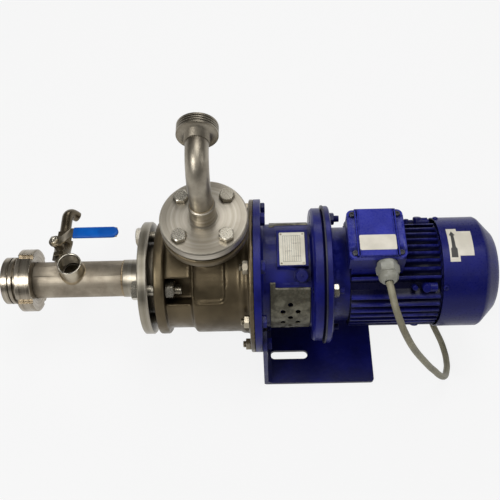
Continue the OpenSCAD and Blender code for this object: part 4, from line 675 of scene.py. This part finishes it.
skin_cell, skin_rounds = 2*mm, 4
cast_skin("casing", ("volute_casing", "casing_flange", "discharge_neck"), casing_steel, skin_cell,
          skin_rounds)

# %% [markdown]
# ## Screws
# A screw catches the light on the cone that bevels its corners, so each head is a grid whose radius is the
# smaller of a hexagon and a cone. The thread is a grid too: its radius dips along a line that winds round.
# A cylinder of six sides, cut by a cone, would give the same head in loose triangles. All screws of one node
# are patches of one mesh, each placed on its circle by a list of angles.

# %% Screw sizes and circles
Screw = namedtuple("Screw", "radius across head nut pitch depth")
m16 = Screw(*metres(8, 24, 10, 12.8, 2, 1.1))
m12 = Screw(*metres(6, 18, 7.5, 9.9, 1.75, 0.9))
m10 = Screw(*metres(5, 16, 6.4, 7.9, 1.5, 0.8))


def ring_spots(angles, radius):
    """Places on a circle about the shaft, each with the direction along the circle there."""
    a = np.radians(angles)[:, None]
    spots = np.hstack([0*a, radius*np.cos(a), shaft + radius*np.sin(a)])
    return list(zip(spots, np.hstack([0*a, -np.sin(a), np.cos(a)])))


def bolt(screw, spot, axis, way, under_head, thread_from, thread_l, sides=24):
    """Head, shank and thread of a screw. The shank runs from the head's face to where the thread starts, and
    those two stations also say which end the tip is."""
    tip = 1 if thread_from > under_head else -1
    head_from = under_head - screw.head if tip > 0 else under_head
    shank = sorted((under_head, thread_from))
    return (hexagon(screw.head, screw.across, spot + head_from*axis, axis, way, ends=(tip > 0, tip < 0)),
            turned([(station, screw.radius) for station in shank], spot, axis, sides),
            threaded(thread_l, screw.radius, spot + thread_from*axis, tip*axis, screw.pitch, screw.depth,
                     sides))


def nut(screw, spot, axis, way, nut_from, height=None):
    """A nut with its bore on the screw, as high as the screw says or as given."""
    return hexagon(height or screw.nut, screw.across, spot + nut_from*axis, axis, way, screw.radius)


# %% Suction flange screws
suction_circle, under_head, thread_from, thread_l, nut_from = metres(62.5, -255, -207, 12, -217.9)
screws, nuts = [], []
for spot, way in ring_spots(diagonals, suction_circle):
    screws += bolt(m16, spot, X, way, under_head, thread_from, thread_l, 32)
    nuts.append(nut(m16, spot, X, way, nut_from))
piece("suction_screws", screws, "pump", screw_steel, 25, ("suction_bolts",))
piece("suction_screw_nuts", nuts, "pump", screw_steel, 25, ("suction_nuts",))
print("suction screws and nuts:", len(nuts))

# %% Screws between the casing and the lantern
joint_circle, upper_face, lower_face, thread_from, thread_l, nut_from = metres(100, -84, -78, -102, 11, -109)
joint_angles, upper_ones = 22.5 + 45*np.arange(8), 4
heads, tails, nuts = [], [], []
for k, (spot, way) in enumerate(ring_spots(joint_angles, joint_circle)):
    under_head = upper_face if k < upper_ones else lower_face
    head, *tail = bolt(m10, spot, X, way, under_head, thread_from, thread_l)
    heads.append(head)
    tails += tail
    nuts.append(nut(m10, spot, X, way, nut_from))
piece("joint_heads", heads, "pump", blue_paint, 25, ("casing_bolts",))
piece("joint_threads", tails, "pump", nut_steel, 25, ("casing_bolts",))
piece("joint_nuts", nuts, "pump", nut_steel, 25, ("casing_nuts",))
print("casing screws and nuts:", len(nuts))

# %% Motor studs
stud_circle, stud_from, thread_from, thread_l, nut_from, stud_nut = metres(82.5, -11, 21, 7.5, 13.55, 8)
bare_one = 1
painted, bare = [], []
for k, (spot, way) in enumerate(ring_spots(diagonals, stud_circle)):
    painted += bolt(m10, spot, X, way, stud_from, thread_from, thread_l)[1:]
    (bare if k == bare_one else painted).append(nut(m10, spot, X, way, nut_from, stud_nut))
piece("motor_studs", painted, "pump", blue_paint, 25, ("motor_bolts",))
piece("bare_stud_nut", bare, "pump", screw_steel, 25, ("motor_bolts",))
print("one stud's nut stays bare, the others are painted over")

# %% Outlet screws
outlet_circle, under_head, thread_from, thread_l, nut_from = metres(42.5, 292, 251, 6, 250)
face_disc = metres((7.3, 8.6), (7.55, 8.6), (7.55, 0.3))
head_turns = np.radians([4, -3, 17, 31])
screws, nuts = [], []
for angle, turn in zip(np.radians(diagonals), head_turns):
    spot = np.array([outlet_x + outlet_circle*np.cos(angle), outlet_circle*np.sin(angle), 0])
    way = np.array([np.cos(turn), np.sin(turn), 0])
    head, *tail = bolt(m12, spot, Z, way, under_head, thread_from, thread_l)
    screws += [head, turned(face_disc, spot + under_head*Z, Z, 40, (False, True)), *tail]
    nuts.append(nut(m12, spot, Z, way, nut_from))
piece("outlet_screws", screws, "pump", screw_steel, 25, ("discharge_bolts",))
piece("outlet_nuts", nuts, "pump", nut_steel, 25, ("discharge_nuts",))
print("outlet screws and nuts:", len(nuts))

# %% Stem nut, cover screws and lid screws
lean = np.radians(9)
stem_way = np.array([-np.sin(lean), 0, np.cos(lean)])
stem_side = np.array([np.cos(lean), 0, np.sin(lean)])
stem_foot = np.array([valve_x, valve_y, shaft])
nut_h, nut_across, nut_rise, stem_r, cover_cap_x = metres(5, 11, 29.5, 3.5, 167)
stem_nut = hexagon(nut_h, nut_across, stem_foot + nut_rise*stem_way, stem_way, stem_side, stem_r)
piece("stem_screw_nut", [stem_nut], "valve_spindle", screw_steel, 25, ("stem_nut",))
cover_cap = metres((78.9, 3.9), (80.3, 3.9), (81.1, 3.3), (81.5, 2.2), (81.1, 1.9), (80.4, 1.8))
cover_cap_at = on_shaft + cover_cap_x*X
outward = [unit(spot - on_shaft) for spot, way in ring_spots(diagonals, 1)]
piece("cover_caps", [turned(cover_cap, cover_cap_at, out, 32) for out in outward], "pump", blue_paint, 25,
      ("cover_screws",))
lid_cap = metres((242, 4), (243.6, 4), (244, 3.5), (244, 1.9), (242.8, 1.8))
lid_corners = [metres(x, y, 0) for x in (41, 102) for y in (-30.5, 30.5)]
piece("lid_caps", [turned(lid_cap, corner, Z, 32) for corner in lid_corners], "pump", dark_screw, 25,
      ("cover_screws",))
print("small screws on the fan cover and the lid:", len(outward) + len(lid_corners))


# %% [markdown]
# ## Welds, sockets and pipe ends
# A weld is a low ridge with overlapping ripples. Where a round socket stands on a round pipe, the ridge has
# to climb over the pipe, so its height follows the pipe's circle. A plain ring would sink into the pipe along
# its crown.

# %% Weld ridges
def bead(at, axis, radius, height, ripples, sides=240):
    """A weld ridge round an axis: half an ellipse in section, with a ripple that leans as welds do."""
    sunk = 0.15*mm
    axis, u, v = frame_of(axis)
    angle, spoke = spokes(sides, u, v)
    arc = np.linspace(-1, 1, 9)[:, None, None]
    ripple = 1 + 0.16*np.cos(ripples*angle[:, None] + 2.2*arc**2)
    rise = height*np.sqrt(np.maximum(0, 1 - arc**2))*ripple
    return patch(np.asarray(at) + 2.0*height*arc*axis + (radius + rise - sunk)*spoke)


def saddle(radius, reach, ripples):
    """A ridge at the foot of a socket of that radius on the inlet pipe: at the angle a and the distance d
    from the socket's axis the pipe's skin lies sqrt(pipe_r^2 - (d sin a)^2) from the pipe's middle."""
    sunk = 0.2*mm
    angle = full_turn(180)[None, :]
    t = np.linspace(0, 1, 9)[:, None]
    out = radius - sunk + reach*(1 - np.cos(t*np.pi/2))*(1 + 0.05*np.cos(ripples*angle))
    side = out*np.sin(angle)
    skin = np.sqrt(np.maximum(0, pipe_r**2 - side**2))
    return out*np.cos(angle), side, skin + reach*(1 - np.sin(t*np.pi/2)) - sunk*t


weld_steel = satin_steel("weld steel", tone(176, 160, 132), tone(104, 86, 62), 0.34)
inlet_weld, inlet_weld_r, inlet_weld_h = metres(-286.6, 26.7, 0.75)
outlet_weld, outlet_weld_r, outlet_weld_h = metres(322.5, 14.9, 0.7)
socket_weld_r, socket_reach, nipple_weld_r, nipple_reach = metres(17, 3.4, 9, 2.6)
along, side, up = saddle(socket_weld_r, socket_reach, 30)
socket_weld = np.stack([socket_x + along, side, shaft + up], -1)
along, side, up = saddle(nipple_weld_r, nipple_reach, 22)
nipple_weld = np.stack([valve_x + along, up, shaft + side], -1)
welds = [bead(on_shaft + inlet_weld*X, X, inlet_weld_r, inlet_weld_h, 40),
         bead((outlet_x, 0, outlet_weld), Z, outlet_weld_r, outlet_weld_h, 28),
         patch(socket_weld[::-1]), patch(nipple_weld)]
piece("weld_ridges", welds, "pump", weld_steel, 60)
print("weld ridges:", len(welds))

# %% Turned collars
inlet_neck = metres((-285.2, 26.6), (-284.6, 27.55), (-256.2, 27.75), (-254.9, 28.6))
piece("inlet_collar", [turned(inlet_neck, on_shaft, caps=(False, False))], "pump", flange_steel)
outlet_neck = metres((291.9, 18.4), (293.2, 17.3), (320.6, 17.1), (321.6, 15.4))
piece("outlet_collar", [turned(outlet_neck, (outlet_x, 0, 0), Z, caps=(False, False))], "pump", outlet_steel)
print("collars on both welding necks")

# %% Gauge socket and drain nipple
socket_foot, socket_top, socket_r, socket_bore = metres(16, 47.5, 17.3, 15)
lip = socket_top - 0.8*mm
hub = on_shaft + socket_x*X
shell = turned([(socket_foot, socket_r), (lip, socket_r), (lip, socket_bore)], hub, Z, caps=(False, False))
thread_l, thread_in, thread_pitch, thread_deep = metres(21, 0.9, 2.3, 1.2)
corners, faces = threaded(thread_l, socket_bore, hub + (socket_top - thread_in)*Z, -Z, thread_pitch,
                          thread_deep, 64, (False, False))
inner_thread = (corners, [face[::-1] for face in faces])
nipple = turned(metres((20, 9), (38, 9), (38, 5.2), (24, 5.2)), on_shaft + valve_x*X, Y, 48, (False, False))
# The rim is brighter, smoother steel than the socket: a turned face, and partly a painted highlight along the
# mouth
rim = turned([(lip, socket_r), (socket_top - 0.1*mm, 17.2*mm), (socket_top + 0.1*mm, 16.8*mm),
              (socket_top + 0.1*mm, 15.7*mm), (lip, socket_bore)], hub, Z, 64, (False, False))
piece("socket_rim", [rim], "pump", screw_steel, 60)
piece("branches", [shell, inner_thread, nipple], "pump", socket_steel, 35, ("pipe_sockets",))
print("the socket's mouth is", round(shaft + socket_top, 4), "m above the floor")

# %% Drain bend
dip = np.radians(55)
way_out = np.array([np.cos(dip), 0, -np.sin(dip)])
bend_r, bend_from = metres(12.5, 109)
turn = np.linspace(0, np.pi/2, 17)[:, None]
straight = metres(79, 88, 98, 106)[:, None]*Y
elbow = bend_r*(1 - np.cos(turn))*way_out + (bend_from + bend_r*np.sin(turn))*Y
spout = (bend_r + metres(2, 4, 6.5)[:, None])*way_out + (bend_from + bend_r)*Y
drain_line = np.vstack([straight, elbow, spout]) + on_shaft + valve_x*X
last, inner_rings = len(drain_line) - 1, 8
order = np.concatenate([np.arange(last + 1), [last, last], np.arange(last, last - inner_rings, -1)])
radius = metres(*[8.3]*last, 8.1, 7.7, 6.3, *[5.9]*inner_rings)
bend_up = (0.7, 0, 0.7)
bend = swept(drain_line, radius, 40, bend_up, (False, True), order)
piece("drain_bend", [bend], "pump", valve_steel, 40, ("drain_elbow",))
print("the drain bend's mouth is", round(float(drain_line[-1, 2]), 4), "m above the floor")


# %% [markdown]
# ## Lever grip, cable gland, bosses and ribs
# Dipped vinyl has no hard edge: its section is a squared oval, and its end is round from above. A bevelled
# box would keep flat sides, so the section is a formula. The gland is moulded with one hexagon and a soft
# dome where the cable goes in. The motor's casting has short round bosses at its corners, and the pressed
# lid has ribs beside its screws.

# %% The soft grip
def grip(start, length, half_width, half_height):
    """A sleeve along X: its section is |y/w|^3.2 + |z/h|^2.4 = 1, and w shrinks over a round end."""
    sides, lip_l = 48, 0.9*mm
    s = np.concatenate([[0, lip_l/3, lip_l], np.linspace(2*mm, length - half_width, 24),
                        length - half_width + half_width*np.sin(np.linspace(0.08, 1, 22)*np.pi/2)])
    past = np.clip((s - length + half_width)/half_width, 0, 0.9995)
    mouth = np.clip(s/lip_l, 0, 1)
    width = half_width*np.sqrt(1 - past**2)*(0.93 + 0.07*mouth)
    height = half_height*np.minimum(1, 0.35 + 0.65*np.sqrt(1 - past**4))*(0.8 + 0.2*mouth)
    t = full_turn(sides)
    y = np.sign(np.cos(t))*np.abs(np.cos(t))**(2/3.2)
    z = np.sign(np.sin(t))*np.abs(np.sin(t))**(2/2.4)
    points = np.stack([s[:, None] + 0*y, width[:, None]*y, height[:, None]*z], -1)
    return patch(points + start, caps=(True, True))


grip_from = np.array([-357.3*mm, valve_y, 181.7*mm])
piece("vinyl_grip", [grip(grip_from, *metres(66, 9.1, 2.95))], "valve_spindle", sleeve_vinyl, 50,
      ("lever_sleeve",))
print("the grip starts", round(grip_from[2], 4), "m above the floor")

# %% Cable gland
gland_at = np.array([gland_x, box_side_y, gland_z])
hex_from, hex_l, hex_across = metres(3.6, 13, 27.4)
hex_corner = (0.34, 0, 0.94)
collar = metres((0, 13.6), (3.4, 13.6), (3.8, 13.2))
dome = metres((16.2, 12.2), (17, 13.4), (21, 13.4), (23.4, 12.9), (25.6, 11.6), (27.4, 9.7), (28.6, 7.6),
              (28.6, 6.4), (27.6, 5.5), (22, 5.2))
piece("cable_entry", [turned(collar, gland_at, -Y, 48),
                      hexagon(hex_l, hex_across, gland_at - hex_from*Y, -Y, hex_corner),
                      turned(dome, gland_at, -Y, 64, (False, False))],
      "pump", gland_plastic, 30, ("cable_gland",))
print("the gland reaches", round(float(dome[:, 0].max()), 4), "m out of the box")

# %% Bosses of the motor frame
stubs = []
boss_foot = 66*mm
for out in outward:
    for x, radius, top in metres((141, 6.0, 82.0), (125.5, 3.8, 79.5)):
        profile = [(boss_foot, radius), (top - 1.2*mm, radius), (top - 0.3*mm, radius - 0.5*mm),
                   (top, radius - 1.4*mm)]
        stubs.append(turned(profile, (x, 0, shaft), out, 36, (False, True)))
piece("frame_bosses", stubs, "pump", blue_paint, 40)
print("bosses on the frame:", len(stubs))

# %% Plug of the lantern, and ribs of the lid
plug_angle, plug_x = np.radians(60.04), -28.5*mm
plug_profile = metres((72, 7.6), (79.6, 7.6), (80, 8.8), (87.4, 8.8), (88.6, 7.8), (88.8, 6.4), (88.9, 1.8),
                      (89.7, 1.5), (89.9, 0.9))
plug_axis = -np.cos(plug_angle)*Y + np.sin(plug_angle)*Z
screw_plug = turned(plug_profile, on_shaft + plug_x*X, plug_axis, 64)
piece("screw_plug", [screw_plug], "pump", cover_paint, 40, ("lantern_plug",))
rib_half, rib_z, rib_r = metres(36.4, 245.8, 1.05)
rib_y = np.linspace(-rib_half, rib_half, 12)
ribs = [swept(np.column_stack([0*rib_y + x, rib_y, 0*rib_y + rib_z]), rib_r)
        for x in metres(44.8, 48.2, 94.8, 98.2)]
piece("lid_ribs", ribs, "pump", lit_lid_paint, 50)
print("ribs on the lid:", len(ribs))


# %% [markdown]
# ## Plates and labels
# The plate gets ruled lines, the label on the lid is plain, and an arrow on the fan cover shows which way the
# shaft turns. A label is a thin grid laid on its surface, on the fan cover by the formula of its cylinder. A
# projected picture would do too, but a grid has an edge of its own that catches the light.

# %% Flat and wrapped sheets
def outline(left, right, near, far, height, thick, corner):
    """A flat sheet with round corners: a fan of points along its outline and a wall of its thickness."""
    t = full_turn(48)
    wide, deep = (right - left)/2 - corner, (far - near)/2 - corner
    x = (left + right)/2 + np.sign(np.cos(t))*wide + corner*np.cos(t)
    y = (near + far)/2 + np.sign(np.sin(t))*deep + corner*np.sin(t)
    rings = np.stack([np.stack([x, y, 0*t + h], -1) for h in (height, height + thick)])
    return patch(rings, caps=(False, True))


def wrapped(x0, x1, low, high, radius, steps=24):
    """A grid on the fan cover from x0 to x1 and between two angles, measured from the front over the top."""
    angle = np.radians(np.linspace(low, high, steps))[:, None]
    t = np.linspace(0, 1, 5)[None, :]
    x = np.asarray(x0)*(1 - t) + np.asarray(x1)*t + 0*angle
    return np.stack([x, -radius*np.cos(angle) + 0*x, shaft + radius*np.sin(angle) + 0*x], -1)


# %% Lid panel and label
panel = outline(*metres(49.2, 93.8, -36.4, 36.4, 245.9, 0.75, 1))
piece("lid_panel", [panel], "pump", lit_lid_paint, 30)
label = outline(*metres(47.4, 95.9, -28.2, -5, 246.68, 0.2, 2.2))
piece("lid_label", [label], "pump", label_film, 30)
print("the label lies", round(float(label[0][:, 2].max()), 4), "m above the floor")

# %% Nameplate and its rivets
plate_low, plate_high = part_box("nameplate")
trim_left, trim_right, trim_near, trim_far = metres(1.6, 2.2, -0.4, 2.4)
left, right = plate_low[0] + trim_left, plate_high[0] - trim_right
near, far = plate_low[1] + trim_near, plate_high[1] - trim_far
sheet_t, ink_lift, rivet_in, plate_corner = metres(0.8, 0.04, 2.6, 1.2)
sheet_top = plate_low[2] + sheet_t
sheet = outline(left, right, near, far, plate_low[2], sheet_t, plate_corner)
piece("type_plate", [sheet], "pump", plate_metal, 30, ("nameplate",))
rivet = metres((0.0, 1.5), (0.35, 1.4), (0.6, 0.9), (0.68, 0.3))
rivets = [turned(rivet, (x, y, sheet_top), Z, 24, (False, True))
          for x in (left + rivet_in, right - rivet_in) for y in (near + rivet_in, far - rivet_in)]
piece("plate_rivets", rivets, "pump", nut_steel, 30, ("nameplate",))
print("rivets on the plate:", len(rivets))

# %% Labels of the fan cover
label_r, upper_label_r, arrow_r = metres(79.12, 79.2, 79.24)
arrow_label = wrapped(*metres(173.6, 187.4), 70.6, 109.2, label_r)
plain_label = wrapped(*metres(185.2, 206.6), 76.6, 105.4, upper_label_r)
piece("cover_labels", [patch(arrow_label, around=False), patch(plain_label, around=False)], "pump",
      label_film)
print("the two labels lie", round(label_r, 4), "and", round(upper_label_r, 4), "m from the shaft's middle")

# %% Turning arrow
arrow_x, arrow_rows, head_share, tail_from = 180.2*mm, 41, 0.2, 0.64
point_angle, tail_angle = 105.5, 75
t = np.linspace(0, 1, arrow_rows)
tail = 2.6 + 1.8*np.minimum(1, (t - tail_from)/0.06)
half = np.where(t < head_share, 4.4*t/head_share, np.where(t < tail_from, 1.9 + t, tail))[:, None]*mm
arrow = wrapped(arrow_x - half, arrow_x + half, point_angle, tail_angle, arrow_r, arrow_rows)
piece("turning_arrow", [patch(arrow[::-1], around=False)], "pump", print_ink)
print("the arrow is", round(2*float(half.max()), 4), "m wide")

# %% Ruled lines on the plate
# Each line is from and to, as shares of the plate's width, then from and to as shares of its depth
columns = [(0.14 + 0.085*k, 0.15 + 0.085*k, 0.1, 0.9) for k in range(9)]
cross_lines = [(0.14, 0.84, 0.1, 0.108), (0.14, 0.84, 0.892, 0.9), (0.23, 0.5, 0.42, 0.428),
               (0.5, 0.84, 0.66, 0.668), (0.5, 0.84, 0.26, 0.268)]
rules = []
for u0, u1, v0, v1 in columns + cross_lines:
    share = np.array([[[u0, v0], [u1, v0]], [[u0, v1], [u1, v1]]])
    line = np.array([left, near]) + share*np.array([right - left, far - near])
    rules.append(patch(np.dstack([line, np.full((2, 2), sheet_top + ink_lift)]), around=False))
piece("plate_rules", rules, "pump", print_ink)
print("ruled lines on the plate:", len(rules))

# %% [markdown]
# ## The plug
# The plug at the cable's end lies behind the motor. Its boot has ridges that keep the cable from bending
# sharply. A plug could be built from bevelled cylinders, but it is round all along, so one profile turned
# about its axis gives the whole of it, and a cosine gives the ridges.

# %% Plug
plug_r, plug_l, floor_gap, pin_y = metres(19, 58, 0.3, 9.5)
tilt = math.asin((plug_r + floor_gap - lead_out[2])/plug_l)
plug_way = end_way*math.cos(tilt) + Z*math.sin(tilt)
plug_side = unit(np.cross(Z, plug_way))
boot_l, ridge_pitch = 24, 3
s = np.linspace(0, boot_l, 73)
boot = np.column_stack([s, 5.4 + 2.6*s/boot_l + 0.45*np.cos(2*np.pi*s/ridge_pitch)])*mm
shell = metres((24.6, 9.2), (25.4, 9.6), (30, 13.2), (34, 14.6), (40, 18.4), (42, 19), (46, 19), (46.6, 18.5),
               (47.4, 18.5), (48, 19), (56, 19), (57.4, 18.2), (58, 16.6))
pin = metres((57, 2.4), (75.4, 2.4), (76.6, 1.9), (77, 1.2))
moulding = turned(np.vstack([boot, shell]), lead_out, plug_way, 64)
plug = piece("cable_plug", [moulding], "pump", black_rubber, 30, ("plug",))
pins = [turned(pin, lead_out + k*pin_y*plug_side, plug_way, 24) for k in (-1, 1)]
plug_pins = piece("plug_pins", pins, "pump", screw_steel, 30, ("plug",))
print("the plug is tilted by", round(math.degrees(tilt), 1), "degrees and has", len(pins), "pins")


# %% [markdown]
# ## The cable itself
# A rubber jacket has a faint grain that runs along it. The tube is swept along the line worked out at the
# start, and the place of every corner along that line becomes its UV. A curve with a round bevel would make
# the same form, but here each ring is told which way is up, so that the grain never twists.

# %% The cable's jacket
def cable_finish():
    """Grey rubber jacket: soft sheen, smudges, and a faint grain along the cable's own length from its UV."""
    f = Finish("grey cable jacket", Specular_IOR_Level=0.45)
    uv = f.add("ShaderNodeUVMap").outputs[0]
    grain = f.noise(1.0, 3, 0.6, f.add("ShaderNodeMapping", {"Vector": uv, "Scale": (18, 260, 1)}).outputs[0])
    smudge = f.noise(35, 5, 0.65)
    colour = f.blend(f.fade(smudge, 0.35, 0.66), tone(112, 107, 88), tone(142, 137, 115))
    return f.wire(Base_Color=colour, Roughness=f.fade(smudge, 0.3, 0.7, 0.42, 0.56),
                  Normal=f.bump(f.calc("ADD", grain, f.noise(500, 2)), 0.05*mm))


# %% The cable's tube
# Up is the way to the front and right on the bow and Z on the floor, and it changes over between the two
cable_sides = 20
change_from, change_over = metres(20, 15)
on_floor = np.clip((change_from - cable_line[:, 2:3])/change_over, 0, 1)
steady = (1 - on_floor)*(X - Y) + on_floor*Z
cable = piece("motor_cable", [swept(cable_line, cable_d/2, cable_sides, steady)], "pump", cable_finish(), 60,
              ("cable", "cable_coil"))
print("the cable's tube has", len(cable.data.polygons), "faces")

# %% The cable's own length as UV
# A ring's last face ends at its first corner, whose share of the way round is then 1 instead of 0
rings = len(cable_line)
along_cable = np.linspace(0, cable_length, rings)
corner = np.zeros(len(cable.data.loops), int)
cable.data.loops.foreach_get("vertex_index", corner)
on_ring = np.minimum(corner // cable_sides, rings - 1)
around = corner % cable_sides/cable_sides
starts = np.array([p.loop_start for p in cable.data.polygons])
first = np.repeat(starts, [p.loop_total for p in cable.data.polygons])
around = np.where((around == 0) & (corner[first] % cable_sides == cable_sides - 1), 1.0, around)
layer = cable.data.uv_layers.new(name="along")
layer.uv.foreach_set("vector", np.column_stack([around, along_cable[on_ring]]).ravel())
print("the jacket's UV runs to", round(float(along_cable[-1]), 3), "m")

# %% [markdown]
# ## Floor and light
# A plain pale floor, five soft boxes, and a sky that is as pale as the floor at the horizon and dim above.
# The strengths add up to a level at which a colour looks about as it was written. For rays from the camera,
# and for those that shiny or clear stuff passes on, the floor is lifted towards white, and it still catches
# the shadow of the pump.

# %% Floor
floor_grey, floor_lift, floor_half, floor_z = 0.55, 0.85, 9, -0.3*mm
floor = Finish("pale floor", Roughness=0.9)
ray = floor.add("ShaderNodeLightPath").outputs
passed_on = floor.calc("MAXIMUM", ray["Is Glossy Ray"], ray["Is Transmission Ray"])
seen = floor.calc("MAXIMUM", ray["Is Camera Ray"], passed_on)
glow = floor.add("ShaderNodeEmission", {"Color": (1, 1, 1, 1), "Strength": 1.0}).outputs[0]
floor.shader.inputs["Base Color"].default_value = (floor_grey, floor_grey, floor_grey, 1)
mixed = floor.add("ShaderNodeMixShader", {0: floor.calc("MULTIPLY", seen, floor_lift),
                                          1: floor.shader.outputs[0], 2: glow})
floor.plug(mixed.outputs[0], floor.tree.nodes["Material Output"].inputs["Surface"])
ground = bpy.data.meshes.new("floor")
corners = [(x*floor_half, y*floor_half, floor_z) for x, y in ((-1, -1), (1, -1), (1, 1), (-1, 1))]
ground.from_pydata(corners, [], [(0, 1, 2, 3)])
ground.materials.append(floor.material)
ground_object = bpy.data.objects.new("floor", ground)
bpy.context.scene.collection.objects.link(ground_object)
print("the floor is", 2*floor_half, "m wide")


# %% Lamps
def soft_box(name, place, aim, size, power):
    """A square lamp whose flat side looks from its place to its aim."""
    lamp = bpy.data.objects.new(name, bpy.data.lights.new(name, "AREA"))
    lamp.data.shape, lamp.data.size, lamp.data.energy = "SQUARE", size, power
    lamp.location = place
    lamp.rotation_euler = (Vector(aim) - Vector(place)).to_track_quat("-Z", "Y").to_euler()
    bpy.context.scene.collection.objects.link(lamp)


# Each row is a name, a place, an aim, a size in metres and a power in watts
lamps = (("left box", (-1.3, -1.1, 2.1), (-0.1, 0, 0.1), 0.9, 28),
         ("front box", (0.25, -1.0, 2.3), (-0.05, 0, 0.1), 1.5, 5),
         ("top box", (0.15, 0.35, 2.3), (0.0, 0, 0.1), 1.2, 20),
         ("right box", (1.7, -0.4, 1.5), (0.0, 0, 0.1), 0.7, 4),
         ("rear box", (0.1, 1.9, 1.5), (0.0, 0, 0.1), 0.8, 9))
for lamp in lamps:
    soft_box(*lamp)
print("lamps:", len(lamps), "with", sum(lamp[-1] for lamp in lamps), "watts in all")

# %% Sky
horizon, dim_above = 0.05, 0.2
horizon_light, high_light = 0.93, 0.13
sky = bpy.data.worlds.new("sky")
sky.use_nodes = True
bpy.context.scene.world = sky
tree = sky.node_tree
coordinate = tree.nodes.new("ShaderNodeTexCoord")
split = tree.nodes.new("ShaderNodeSeparateXYZ")
height = tree.nodes.new("ShaderNodeMapRange")
height.interpolation_type = "SMOOTHSTEP"
for socket, value in (("From Min", horizon), ("From Max", dim_above), ("To Min", horizon_light),
                      ("To Max", high_light)):
    height.inputs[socket].default_value = value
tree.links.new(coordinate.outputs["Generated"], split.inputs[0])
tree.links.new(split.outputs["Z"], height.inputs["Value"])
tree.links.new(height.outputs[0], tree.nodes["Background"].inputs["Strength"])
tree.nodes["Background"].inputs["Color"].default_value = (1, 1, 1, 1)
bpy.context.scene.view_settings.view_transform = "Standard"
print("the sky is", horizon_light, "bright at the horizon and", high_light, "above")
